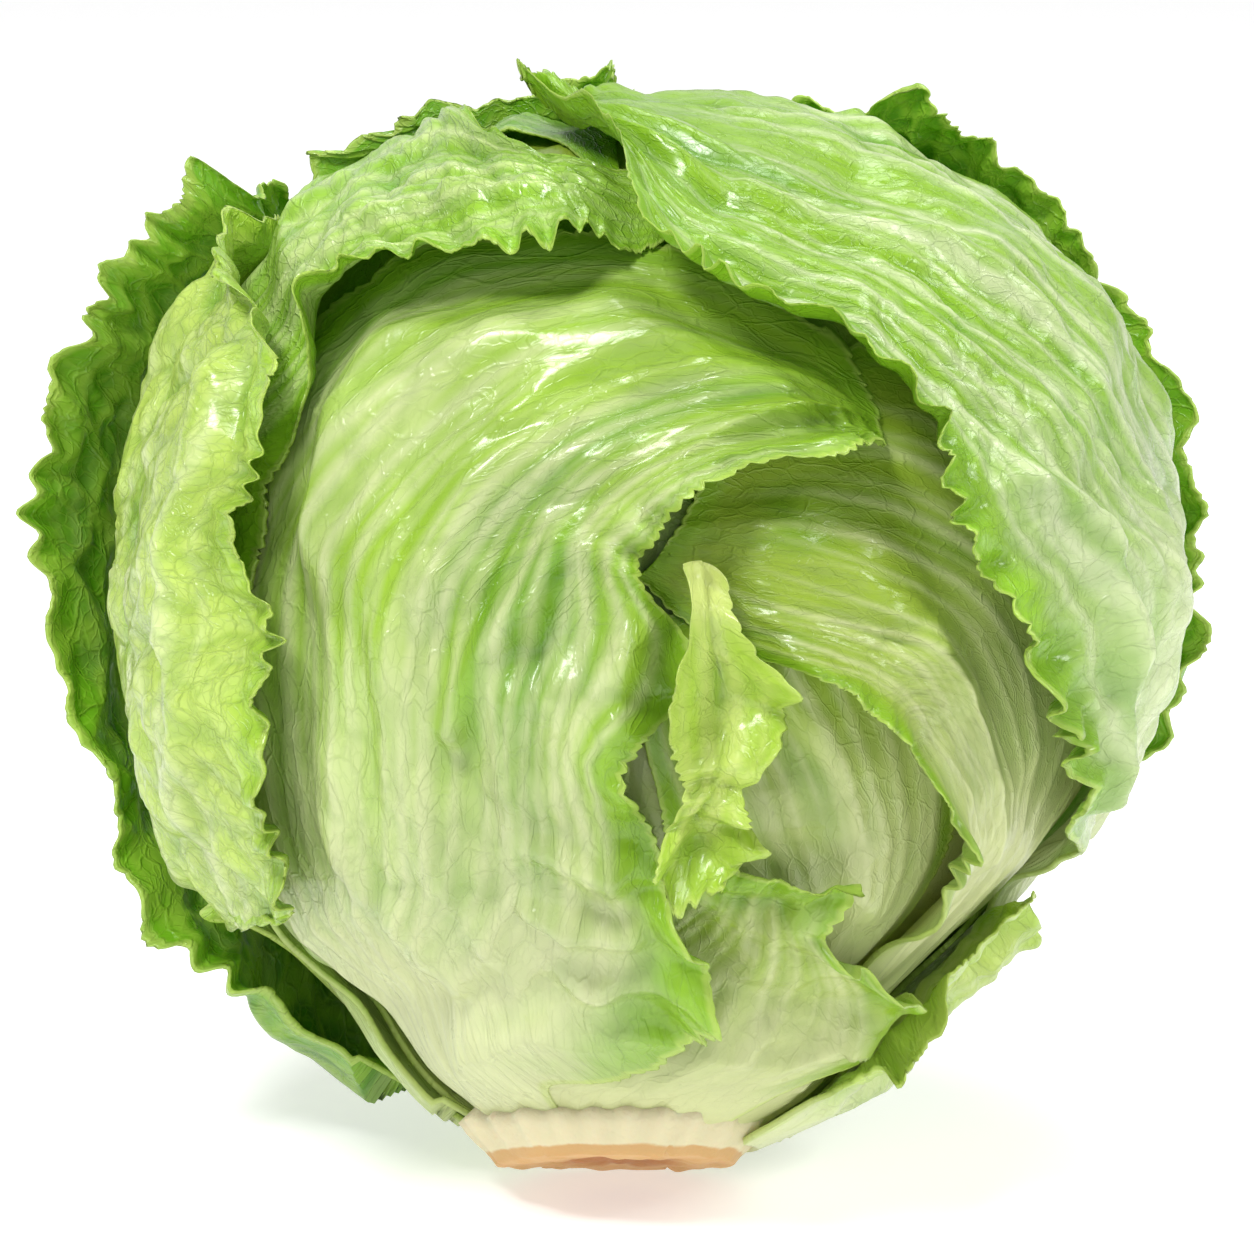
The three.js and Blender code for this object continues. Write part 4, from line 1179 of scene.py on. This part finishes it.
    def build(self, reach: DirectionMap, covered: DirectionMap, pucker: PuckerTree,
              material: bpy.types.Material) -> None:
        """Builds, dresses and places the leaf over all that lies inside it.

        Args:
            reach: How far out the head reaches so far; raised to the leaf's outer face.
            covered: Where later leaves lie over this one.
            pucker: The tree that puffs up the free blade.
            material: The leaf's material.
        """
        along, across = self.grid()
        directions = self.lobed(along, across)
        toward = 1 - smooth(along, 0.0, self.ROOT_SHARE) if self.rooted() else np.zeros_like(along)
        turn = np.degrees(np.arctan2(directions @ AXIS_RIGHT, directions @ AXIS_FRONT))
        off = np.degrees(np.arccos(np.clip(directions @ STEM_AXIS, -1.0, 1.0)))
        directions = necks(turn, off + toward ** 1.5 * (COLLAR_ANGLE - off))
        free = 1 - covered.at(directions)
        rib = self.rib_mask(along, across)
        half = self.half_width(along)
        to_edge = np.minimum((1 - np.abs(across)) * half, (1 - along) * self.length())
        thick = self.thickness * (0.55 + 0.45 * smooth(to_edge, 0.0, 4.0))
        ribbed = self.RIB_THICKNESS * rib * (1 - along) * smooth(to_edge, 1.0, 5.0)
        thick = thick + 0.7 * (1 - along) ** 2 + ribbed
        swell, crest = self.relief(along, across)
        lift = (self.stand_off(along, across, directions) + swell) * free
        top = reach.spread(2.4, True).spread(2.0, False).at(directions) + self.LEAST_GAP + lift + thick
        flush = self.base_reach(directions)
        top = np.maximum(top, top + (flush - top) * toward ** 2)
        top = np.where(off < self.ROOT_ANGLE, np.minimum(top, flush), top)
        top = np.minimum(top, floor_radii(directions))
        outer, inner = points_at(directions, top), points_at(directions, top - thick)
        reach.raise_to(directions, top + 0.5 * self.pucker * free)

        loose = free * smooth(outer[..., 2], 0.5, 4.0) * smooth(along, 0.1, 0.35)
        flow = np.stack([across * half, along * self.length() / self.stretch, 0 * along], axis=-1) * MM
        facts = {"along": along, "edge": fading(to_edge, 7.0), "rib": rib, "relief": crest, "free": loose,
                 "flow": flow, "out": unit(outer - HEAD_CENTRE)}
        facts = {label: np.concatenate([values.reshape(along.size, -1).squeeze()] * 2)
                 for label, values in facts.items()}
        points = np.concatenate([outer.reshape(-1, 3), inner.reshape(-1, 3)])
        quads = blade_quads(along.shape[0] - 1, along.shape[1] - 1)
        piece = make_piece(self.name, points, quads, facts, facts["flow"][:, :2] + 0.5)
        pucker.apply(piece, self.pucker, self.pucker_size, self.seed + 1, material)
        place_in_frame(piece, self.node)


def blade_quads(rows: int, columns: int) -> np.ndarray:
    """The faces of a closed blade: an outer and an inner grid and the rim between them.

    Args:
        rows: Cells along the blade.
        columns: Cells across it.

    Returns:
        Four point numbers for each face.
    """
    r, c = np.meshgrid(np.arange(rows), np.arange(columns), indexing="ij")
    first = r * (columns + 1) + c
    outer = np.stack([first, first + 1, first + columns + 2, first + columns + 1], axis=-1).reshape(-1, 4)
    count = (rows + 1) * (columns + 1)
    inner = outer[:, ::-1] + count
    loop = np.concatenate([
        np.arange(columns), np.arange(rows) * (columns + 1) + columns,
        rows * (columns + 1) + np.arange(columns, 0, -1), np.arange(rows, 0, -1) * (columns + 1)])
    after = np.roll(loop, -1)
    rim = np.stack([loop, loop + count, after + count, after], axis=-1)
    return np.concatenate([outer, inner, rim])


@dataclass
class Heart:
    """The closely packed inner leaves, lying over each other in turns round the stem."""

    finish: LeafFinish
    radius: float = 71.0
    leaves: int = 7
    leaf_step: float = 1.1
    flat_depth: float = 7.0
    flat_width: float = 38.0
    rise_front: float = 10.5
    rise_rear: float = 3.0
    shoulder: float = 28.0
    turns: int = 220
    pleat: float = 0.7

    GOLDEN_TURN = 137.5
    FLAT_PLACE = (84, -42)
    FOOT_ANGLES = (1.0, 4.0, 8.0, 11.0, NECK_ANGLE - 0.5, NECK_ANGLE - 0.3)
    LAST_ANGLE = 179.2

    def radii(self, off: np.ndarray, turn: np.ndarray) -> np.ndarray:
        """The heart's radius for degrees off the stem and round it.

        Args:
            off: Degrees off the stem's axis.
            turn: Degrees round it.

        Returns:
            The radii in millimetres.
        """
        radius = np.full(off.shape, self.radius - self.leaves * self.leaf_step / 2)
        for leaf in range(self.leaves):
            turned = (turn - leaf * self.GOLDEN_TURN) % 360
            turned = np.where(turned > 180, turned - 360, turned)
            half = 85 + 5 * np.sin(np.radians(off * 7 + leaf * 50)) + 40 * smooth(off, 90, 175)
            top = 176 - leaf * 9 + 4 * np.sin(np.radians(turned * 5))
            inside = smooth(half - np.abs(turned), -2, 2) * smooth(top - off, -2, 2)
            radius += self.leaf_step * inside
        rise = self.rise_rear + (self.rise_front - self.rise_rear) * (0.5 + 0.5 * np.cos(np.radians(turn)))
        away = np.degrees(np.arccos(np.clip(necks(turn, off) @ around(*self.FLAT_PLACE), -1, 1)))
        radius -= self.flat_depth * fading(away, self.flat_width)
        return radius + rise * (1 - smooth(off, NECK_ANGLE, self.shoulder))

    def build(self, reach: DirectionMap, material: bpy.types.Material) -> None:
        """Builds, dresses and places the heart, and raises the map to it.

        Args:
            reach: How far out the head reaches so far.
            material: The heart's material.
        """
        foot = float(np.linalg.norm(STEM_FACE_CENTRE - HEAD_CENTRE)) - STEM_LENGTH - 2
        angles = np.concatenate([self.FOOT_ANGLES, np.linspace(NECK_ANGLE, self.LAST_ANGLE, 190)])
        turn, off = np.meshgrid(np.linspace(0, 360, self.turns, endpoint=False), angles)
        pleats = value_noise(turn / 360 * 48, off / 30, 5)
        radius = self.radii(off, turn) + self.pleat * (pleats - 0.5) * smooth(off, 20, 40)
        points = points_at(necks(turn, off), np.where(off < NECK_ANGLE, foot, radius))
        along = np.clip(off / 150, 0, 1)
        rib = 0.6 * smooth(value_noise(turn / 360 * 40, off / 60, 8), 0.62, 0.9) * (1 - along)
        facts = {"along": along.ravel(), "edge": np.zeros(off.size), "rib": rib.ravel(),
                 "relief": pleats.ravel()}
        places = np.stack([turn / 360 * 0.4, off / 180 * 0.22], axis=-1).reshape(-1, 2)
        piece = closed_rings("packed_heart", points.reshape(-1, 3), facts, len(angles), self.turns, places)
        piece.data.materials.append(material)
        place_in_frame(piece, "heart")
        turn, off = np.meshgrid(np.arange(DirectionMap.COLUMNS) + HALF_CELL - DirectionMap.COLUMNS / 2,
                                np.arange(DirectionMap.ROWS) + HALF_CELL)
        reach.raise_to(necks(turn, off), self.radii(np.maximum(off, NECK_ANGLE), turn) + 0.3)


INNER = LeafFinish("pale inner leaf", Slot.PALE, (222, 228, 168), (162, 190, 60), (146, 190, 44),
                   (130, 166, 44), vein_strength=0.18, vein_relief=0.4, base_reach=0.8, roughness=0.34)
TUFT = LeafFinish("curled yellow-green leaf", Slot.PALE, (222, 234, 140), (190, 218, 90), (180, 214, 70),
                  (136, 178, 44), vein_strength=0.25, vein_relief=0.6, base_reach=0.3, roughness=0.32)
FRONT = LeafFinish("pleated front leaf", Slot.GREEN, (226, 232, 178), (164, 204, 58), (156, 202, 52),
                   (108, 154, 28), vein_strength=0.22, vein_relief=0.6, base_reach=0.62, roughness=0.3,
                   hollow_shade_factors=(0.6, 0.78, 0.3))
GREEN = LeafFinish("green blade", Slot.GREEN, (216, 232, 156), (124, 180, 36), (146, 202, 40),
                   (84, 138, 18), vein_strength=0.3, rib_strength=0.6, base_reach=0.45, roughness=0.28)
GLOSSY = LeafFinish("glossy upper leaf", Slot.GREEN, (222, 238, 164), (158, 206, 58), (164, 214, 56),
                    (96, 150, 22), vein_strength=0.3, base_reach=0.4, roughness=0.26)
RIBBED = LeafFinish("ribbed side leaf", Slot.GREEN, (232, 240, 196), (148, 194, 46), (152, 202, 44),
                    (100, 152, 28), vein_strength=0.18, vein_relief=0.7, base_reach=0.62, roughness=0.28)
LIGHT = LeafFinish("light left leaf", Slot.GREEN, (234, 244, 184), (204, 230, 108), (184, 222, 74),
                   (116, 166, 32), vein_strength=0.35, base_reach=0.4, roughness=0.26,
                   hollow_shade_factors=(0.62, 0.8, 0.32))
LOWER = LeafFinish("yellow-green lower leaf", Slot.PALE, (234, 242, 190), (204, 228, 108), (194, 224, 92),
                   (146, 186, 52), vein_strength=0.2, base_reach=0.6, roughness=0.32)
OUTER = LeafFinish("deep green wrapper", Slot.OUTER, (206, 226, 140), (90, 154, 18), (124, 186, 34),
                   (170, 208, 74), vein_strength=0.6, rib_strength=0.4, base_reach=0.25, roughness=0.3,
                   vein_scale=260.0, hollow_shade_factors=(0.74, 0.86, 0.5))


def loose_leaves() -> list[Leaf]:
    """The loose leaves, from the heart outwards.

    Returns:
        The leaves. Each row gives the blade's left edge, middle and right edge, from base to tip.
    """
    return [
        Leaf("smooth_inner_leaf", "inner_leaf", INNER, [
            (neck(20, 22), neck(38, 22), neck(56, 22)),
            (seen(8, -60), seen(28, -55), seen(47, -47)),
            (seen(2, -42), seen(26, -36), seen(48, -26)),
            (seen(-2, -24), seen(18, -16), seen(40, -5)),
            (seen(-2, -6), seen(10, 0), seen(24, 12)),
        ], 0.5, (0, 0, 0), (0, 0), [
            Fold([seen(36, -60), seen(26, -40), seen(12, -18)], 5, 1.2),
        ], ribs=4, pleat=0.6, frill=0.5, pucker=0.3, fold_depth=0.6, stretch=2, seed=0),
        Leaf("wide_pale_leaf", "wide_inner_leaf", INNER, [
            (neck(48, 19), neck(70, 19), neck(102, 19)),
            (seen(38, -57), seen(54, -53), around(100, -55)),
            (seen(43, -40), seen(60, -35), around(102, -30)),
            (seen(38, -29), seen(58, -18), around(100, -8)),
            (seen(30, -18), seen(50, -4), seen(72, 14)),
            (seen(22, -13), seen(37, 3), seen(54, 34)),
            (seen(10, -9), seen(20, 8), seen(32, 40)),
            (seen(-3, 2), seen(3, 10), seen(8, 28)),
        ], 1.6, (4.5, 0.5, 3), (2.5, 0), [
            Fold([seen(54, -44), seen(50, -20), seen(32, 0), seen(10, 16)], 3.5, 1.8),
            Fold([seen(46, -44), seen(40, -28), seen(30, -15), seen(18, -7)], 3, 2.2),
            Fold([seen(10, -9), seen(21, -13), seen(29, -18), seen(37, -27), seen(41, -35)], 2.2, 2.8),
        ], ribs=5, pleat=0.8, frill=1.5, pucker=0.35, fold_depth=1.2, crumple=0.9, stretch=2.2, seed=1),
        Leaf("small_raised_leaf", "small_front_leaf", INNER, [
            (neck(-60), neck(-8), neck(44)),
            (seen(-26, -69), seen(-2, -73), seen(20, -73)),
            (seen(-16, -66), seen(8, -69), seen(31, -69)),
            (seen(-6, -60), seen(12, -63), seen(38, -65)),
            (seen(0, -54), seen(15, -57), seen(33, -59)),
            (seen(5, -49), seen(16, -51), seen(25, -52)),
            (seen(10, -45), seen(19, -45), seen(29, -44)),
        ], 1.8, (1.5, 2.0, 2.0), (0.5, 0.6), [
            Fold([seen(4, -73), seen(13, -62), seen(21, -50)], 2.5, 1.6),
            Fold([seen(24, -52), seen(31, -58), seen(40, -64)], 2.5, 1.6),
        ], ribs=4, pleat=0.7, frill=1.8, pucker=0.6, fold_depth=1.0, crumple=1.6, stretch=1.4, seed=3),
        Leaf("pleated_front_leaf", "front_leaf", FRONT, [
            (neck(-112), neck(-66), neck(-22)),
            (around(-86, -66), seen(-36, -66), seen(-15, -72)),
            (around(-88, -52), seen(-42, -56), seen(1, -70)),
            (around(-90, -40), seen(-42, -46), seen(8, -61)),
            (seen(-74, -25), seen(-42, -31), seen(3, -46)),
            (seen(-76, -7), seen(-42, -13), seen(-1, -26)),
            (seen(-73, 12), seen(-40, 4), seen(5, -9)),
            (seen(-62, 35), seen(-28, 20), seen(-2, 6)),
            (seen(-40, 55), seen(-10, 33), seen(12, 15)),
            (seen(0, 57), seen(15, 36), seen(27, 19)),
            (seen(34, 36), seen(35, 29), seen(36, 23)),
        ], 2.4, (0, 3.2, 3), (0, 1.2), [
            Fold([seen(-14, 7), seen(-19, -2), seen(-26, -10), seen(-30, -22)], 2.6, 4.0),
            Fold([seen(2, -8), seen(-4, -18), seen(-14, -30)], 6, 3.2),
            Fold([seen(-16, -40), seen(-6, -45)], 2.4, 3.0),
            Fold([seen(-18, -50), seen(-4, -53)], 2.4, 3.0),
            Fold([seen(-12, -60), seen(2, -59)], 2.6, 2.4),
            Fold([seen(-12, -72), seen(-34, -40), seen(-38, -8), seen(-26, 14), seen(-2, 25),
                  seen(18, 30)], 4, 2.6),
            Fold([seen(-30, -64), seen(-52, -36), seen(-56, -4), seen(-46, 24), seen(-24, 38),
                  seen(8, 40)], 4, 2.2),
            Fold([seen(-4, -66), seen(-18, -42), seen(-20, -18), seen(-6, -12), seen(4, -6)], 4, 2.8),
            Fold([seen(-22, -30), seen(-22, -8), seen(-12, 4), seen(-2, 8)], 3.5, 2.2),
        ], ribs=10, pleat=0.7, frill=2.2, pucker=0.5, fold_depth=3.6, crumple=1.5, stretch=2.6, seed=4),
        Leaf("curled_heart_leaf", "curled_inner_leaf", TUFT, [
            (seen(3, 3), seen(7, 4), seen(10, 2)),
            (seen(4, -6), seen(8, -7), seen(12, -8)),
            (seen(2, -15), seen(10, -15), seen(19, -16)),
            (seen(3, -23), seen(10, -23), seen(18, -23)),
            (seen(5, -29), seen(9, -29), seen(13, -30)),
            (seen(2, -35), seen(7, -34), seen(13, -34)),
            (seen(-1, -40), seen(6, -39), seen(16, -38)),
            (seen(3, -47), seen(5, -46), seen(8, -44)),
        ], 2.4, (3, 3, 3), (1.0, 1.0), [], ribs=2, pleat=0.5, frill=2.6, tooth=0.9, pucker=0.4,
             crumple=1.6, stretch=1.2, seed=2),
        Leaf("rear_right_leaf", "back_leaf_right", GREEN, [
            (neck(106, 24), neck(140, 24), neck(176, 24)),
            (around(92, -48), around(124, -52), around(168, -52)),
            (around(88, -18), around(128, -20), around(172, -18)),
            (around(86, 14), around(130, 14), around(176, 16)),
            (around(80, 42), around(130, 46), around(-174, 50)),
            (around(60, 66), around(120, 74), around(-168, 78)),
        ], 1.5, (1.5, 2, 2.5), (0, 0), [
            Fold([around(150, -60), around(130, -10), around(128, 50)], 5, 2.5),
        ], ribs=8, stretch=2, seed=5),
        Leaf("rear_left_leaf", "back_leaf_left", GREEN, [
            (neck(188, 24), neck(222, 24), neck(258, 24)),
            (around(-172, -50), around(-132, -52), around(-94, -46)),
            (around(-170, -18), around(-130, -18), around(-92, -16)),
            (around(-172, 16), around(-130, 16), around(-88, 16)),
            (around(-176, 48), around(-128, 48), around(-76, 46)),
            (around(170, 76), around(-110, 76), around(-44, 68)),
            (around(120, 84), around(-20, 80), seen(-4, 60)),
        ], 1.5, (2.5, 0.4, 2.5), (1, 0), [
            Fold([around(-150, -60), around(-132, -10), around(-124, 50)], 5, 2.5),
        ], ribs=8, stretch=2, seed=6),
        Leaf("glossy_upper_leaf", "upper_left_leaf", GLOSSY, [
            (neck(-140, 26), neck(-122, 24), neck(-104, 22)),
            (around(-112, -46), around(-98, -46), around(-84, -44)),
            (around(-102, -12), around(-84, -12), seen(-66, -10)),
            (around(-104, 16), around(-82, 14), seen(-61, 12)),
            (around(-106, 40), seen(-64, 40), seen(-54, 28)),
            (around(-110, 58), seen(-50, 55), seen(-42, 45)),
            (around(-100, 66), seen(-34, 63), seen(-30, 47)),
            (seen(-22, 71), seen(-19, 64), seen(-16, 49)),
            (seen(-4, 68), seen(-4, 62), seen(-4, 52)),
            (seen(5, 66), seen(4, 62), seen(2, 57)),
        ], 2.6, (0, 3.0, 2.5), (0, 2.0), [
            Fold([around(-84, -30), around(-80, 10), seen(-60, 42), seen(-42, 57), seen(-22, 60),
                  seen(0, 60)], 4, 2.4),
            Fold([seen(-56, 24), seen(-47, 40), seen(-38, 50)], 3, 2),
        ], ribs=6, pucker=0.6, frill=2.0, crumple=2.8, stretch=1.5, seed=7),
        Leaf("ribbed_side_leaf", "right_leaf", RIBBED, [
            (neck(108, 24), neck(120, 22), neck(134, 24)),
            (around(97, -60), around(108, -58), around(120, -56)),
            (seen(64, -47), seen(73, -37), around(110, -38)),
            (seen(61, -36), seen(79, -22), around(114, -16)),
            (seen(56, -24), seen(81, -6), around(116, 2)),
            (seen(50, -9), seen(79, 8), around(116, 16)),
            (seen(44, 4), seen(74, 21), around(115, 29)),
            (seen(40, 16), seen(66, 35), around(114, 42)),
            (seen(34, 25), seen(54, 47), around(113, 53)),
            (seen(24, 36), seen(42, 56), around(114, 64)),
            (seen(10, 42), seen(28, 62), around(124, 74)),
            (seen(-2, 50), seen(12, 68), around(160, 81)),
            (seen(-6, 66), seen(-5, 73), around(-120, 82)),
            (seen(-19, 74), seen(-17, 76), seen(-15, 79)),
        ], 2.4, (3.6, 0.5, 2.5), (2.6, 0), [
            Fold([seen(70, -42), seen(77, -14), seen(72, 18), seen(52, 46), seen(20, 64),
                  seen(-10, 74)], 3.5, 2.6),
            Fold([seen(66, -32), seen(68, -8), seen(63, 9), seen(54, 16)], 3.0, 5.0),
            Fold([around(100, -30), around(102, 10), around(98, 44), around(100, 70)], 4, 2),
            Fold([seen(60, 22), seen(44, 38), seen(18, 50), seen(0, 54)], 4, 1.8),
        ], ribs=10, pleat=1.3, frill=2.2, pucker=0.5, fold_depth=2.6, crumple=1.6, stretch=1.8, seed=8),
        Leaf("frilled_left_leaf", "left_leaf", LIGHT, [
            (neck(-160, 20), neck(-142, 18), neck(-124, 17)),
            (around(-130, -57), around(-116, -57), around(-100, -57)),
            (around(-128, -46), around(-108, -46), seen(-64, -47)),
            (around(-126, -34), around(-104, -36), seen(-52, -49)),
            (around(-126, -20), around(-100, -22), seen(-54, -36)),
            (around(-126, -4), around(-98, -8), seen(-54, -18)),
            (around(-126, 10), around(-96, 4), seen(-55, -4)),
            (around(-124, 22), around(-95, 14), seen(-57, 9)),
            (around(-122, 34), around(-93, 26), seen(-54, 22)),
            (around(-118, 43), around(-93, 36), seen(-52, 36)),
            (around(-110, 47), around(-95, 46), seen(-62, 46)),
        ], 2.2, (0, 2.0, 2.0), (0, 0.8), [
            Fold([around(-104, -40), around(-96, -8), around(-92, 20), around(-88, 38)], 4, 2),
            Fold([seen(-68, -44), seen(-67, -22), seen(-69, -4), seen(-66, 18), seen(-61, 36)], 3.5, 2.2),
        ], ribs=6, pucker=0.6, frill=1.9, crumple=2.6, stretch=1.5, seed=9),
        Leaf("lower_yellow_leaf", "lower_right_leaf", LOWER, [
            (neck(62, 18), neck(84, 18), neck(112, 18)),
            (seen(28, -71), around(96, -69), around(122, -67)),
            (seen(41, -65), around(97, -60), around(122, -57)),
            (seen(52, -57), around(98, -51), around(120, -49)),
            (seen(60, -49), around(97, -43), around(112, -42)),
        ], 1.8, (1.0, 0.6, 1.4), (0.2, 0), [
            Fold([neck(86, 20), around(98, -60), around(98, -42)], 4, 1.2),
        ], ribs=5, frill=1.0, crumple=1.2, stretch=1.4, seed=10),
        Leaf("wrapper_right", "outer_leaf_right", OUTER, [
            (neck(140, 17), neck(153, 16), neck(168, 17)),
            (around(144, -56), around(155, -56), around(171, -55)),
            (around(124, -34), around(142, -32), around(168, -28)),
            (around(103, -10), around(130, -8), around(164, -4)),
            (around(102, 12), around(130, 14), around(164, 18)),
            (around(102, 32), around(130, 36), around(168, 40)),
            (around(96, 50), around(130, 56), around(176, 58)),
            (around(84, 62), around(130, 74), around(-172, 74)),
        ], 1.8, (2.5, 1, 2), (1, 0), [
            Fold([around(134, -60), around(128, -10), around(130, 56)], 5, 2.6),
            Fold([neck(150, 36), neck(164, 33)], 6, 7),
        ], ribs=6, pucker=1.3, pucker_size=7, frill=1.3, crumple=2.2, stretch=1.3, seed=11),
        Leaf("wrapper_top", "outer_leaf_top", OUTER, [
            (neck(170, 17), neck(182, 16), neck(195, 17)),
            (around(166, -50), around(-172, -52), around(-152, -52)),
            (around(164, -14), around(-164, -14), around(-132, -14)),
            (around(162, 20), around(-162, 20), around(-124, 20)),
            (around(164, 52), around(-152, 54), around(-112, 38)),
            (around(-172, 72), around(-124, 70), around(-102, 50)),
            (around(-110, 84), around(-108, 74), around(-102, 62)),
        ], 2.0, (1.5, 2, 2.4), (0, 0.5), [
            Fold([around(-166, -56), around(-162, 10), around(-136, 60)], 5, 2.8),
        ], ribs=7, pucker=1.3, pucker_size=7, frill=1.4, crumple=2.4, stretch=1.3, seed=12),
        Leaf("wrapper_left", "outer_leaf_left", OUTER, [
            (neck(-144, 17), neck(-118, 15), neck(-94, 15)),
            (around(-143, -60), around(-117, -66), around(-92, -67)),
            (around(-148, -44), around(-120, -50), around(-92, -52)),
            (around(-146, -28), around(-120, -34), around(-90, -38)),
            (around(-144, -12), around(-120, -18), around(-92, -22)),
            (around(-144, 4), around(-120, -2), around(-92, -4)),
            (around(-142, 18), around(-118, 14), around(-92, 12)),
            (around(-136, 32), around(-114, 28), around(-92, 26)),
            (around(-124, 42), around(-108, 38), around(-91, 36)),
            (around(-106, 48), around(-98, 46), around(-90, 44)),
        ], 2.0, (1, 3, 2.4), (0, 7), [
            Fold([neck(-124, 20), around(-120, -40), around(-120, 4), around(-108, 34)], 4, 2.8),
            Fold([neck(-140, 34), neck(-116, 40)], 8, 7),
        ], flared_by=0.85, ribs=6, pucker=1.3, pucker_size=7, frill=1.4, crumple=2.4,
             stretch=1.3, seed=13),
    ]


@dataclass
class Setting:
    """The pale floor, the soft studio light and the camera at the photo's angle."""

    aim: tuple[float, float, float] = (0.0052, 0.0151, 0.085)
    distance: float = 0.75
    lens: float = 145.5
    sensor: float = 36.0
    photo_size: int = 1254
    photo_shift: tuple[int, int] = (-28, -39)
    floor_size: float = 12.0
    bend_start: float = 3.0
    bend_radius: float = 2.0
    wall_height: float = 6.0
    lit_by: float = 0.4

    LAMPS = (("key_softbox", (-0.5, -0.75, 1.25), 0.35, 16.0), ("fill_softbox", (0.95, -0.35, 0.8), 0.4, 6.0),
             ("top_softbox", (0.15, 0.3, 1.3), 0.6, 8.0))
    LAMP_AIM = (0.0, 0.0, 0.08)
    PAPER = {"Base Color": (0.72, 0.72, 0.72, 1.0), "Roughness": 0.9, "Specular IOR Level": 0.1,
             "Emission Color": WHITE, "Emission Strength": 0.5}

    def floor(self) -> None:
        """Lays a plain floor that rises smoothly at the back."""
        half, radius = self.floor_size / 2, self.bend_radius
        bend = [(self.bend_start + math.sin(turn) * radius, radius - radius * math.cos(turn))
                for turn in np.linspace(0, 1, 24) * math.pi / 2]
        line = [(-half, 0.0)] + bend + [(self.bend_start + radius, self.wall_height)]
        points = [(x, y, z) for y, z in line for x in (-half, half)]
        faces = [(2 * i, 2 * i + 1, 2 * i + 3, 2 * i + 2) for i in range(len(line) - 1)]
        mesh = bpy.data.meshes.new("studio_floor")
        mesh.from_pydata(points, [], faces)
        mesh.polygons.foreach_set("use_smooth", [True] * len(faces))
        floor = bpy.data.objects.new("studio_floor", mesh)
        bpy.context.scene.collection.objects.link(floor)
        paper = bpy.data.materials.new("white paper")
        paper.use_nodes = True
        shader = paper.node_tree.nodes["Principled BSDF"]
        for label, value in self.PAPER.items():
            shader.inputs[label].default_value = value
        mesh.materials.append(paper)

    def lamp(self, name: str, place: tuple[float, float, float], size: float, power: float) -> None:
        """Adds a square soft lamp that faces the head.

        Args:
            name: The lamp's name.
            place: Where it hangs, in metres.
            size: Its side in metres.
            power: Its power in watts.
        """
        light = bpy.data.lights.new(name, "AREA")
        light.size, light.energy = size, power
        lamp = bpy.data.objects.new(name, light)
        lamp.location = place
        lamp.rotation_euler = (Vector(self.LAMP_AIM) - Vector(place)).to_track_quat("-Z", "Y").to_euler()
        bpy.context.scene.collection.objects.link(lamp)

    def lights(self) -> None:
        """Hangs the lamps and sets the pale surroundings, which the camera sees brighter than they light."""
        for lamp in self.LAMPS:
            self.lamp(*lamp)
        world = bpy.data.worlds.new("pale studio")
        world.use_nodes = True
        w = Wiring(world.node_tree)
        back = world.node_tree.nodes["Background"]
        back.inputs["Color"].default_value = WHITE
        looked_at = w.node("ShaderNodeLightPath").outputs["Is Camera Ray"]
        world.node_tree.links.new(w.ramp(looked_at, 0.0, 1.0, self.lit_by, 1.0), back.inputs["Strength"])
        bpy.context.scene.world = world

    def camera(self) -> None:
        """Sets the camera to look as the photo does."""
        lens = bpy.data.cameras.new("camera")
        lens.lens, lens.sensor_width = self.lens, self.sensor
        lens.shift_x, lens.shift_y = (shift / self.photo_size for shift in self.photo_shift)
        camera = bpy.data.objects.new("camera", lens)
        aim = Vector(self.aim)
        back = Vector((0.0, -math.cos(VIEW_RISE), math.sin(VIEW_RISE)))
        camera.location = aim + back * self.distance
        camera.rotation_euler = (-back).to_track_quat("-Z", "Y").to_euler()
        bpy.context.scene.collection.objects.link(camera)
        bpy.context.scene.camera = camera

    def build(self) -> None:
        """Sets up the floor, the lights and the camera."""
        self.floor()
        self.lights()
        self.camera()
        bpy.context.scene.view_settings.view_transform = "Standard"


def main() -> None:
    """Builds the head from the stem outwards, then the setting."""
    logging.basicConfig(level=logging.INFO, format="%(name)s: %(message)s")
    shading, pucker, reach = LeafShading(), PuckerTree(), DirectionMap()
    materials: dict[str, bpy.types.Material] = {}
    leaves = loose_leaves()
    for finish in [INNER] + [leaf.finish for leaf in leaves]:
        if finish.name not in materials:
            materials[finish.name] = finish.material(shading)
    CutStem().build()
    Heart(INNER).build(reach, materials[INNER.name])
    for number, leaf in enumerate(leaves):
        covered = DirectionMap()
        for later in leaves[number + 1:]:
            covered.raise_to(later.footprint(), np.array(1.0))
        covered = covered.spread(2.0, True).spread(3.0, False)
        leaf.build(reach, covered, pucker, materials[leaf.finish.name])
    Setting().build()


if __name__ == "__main__":
    main()
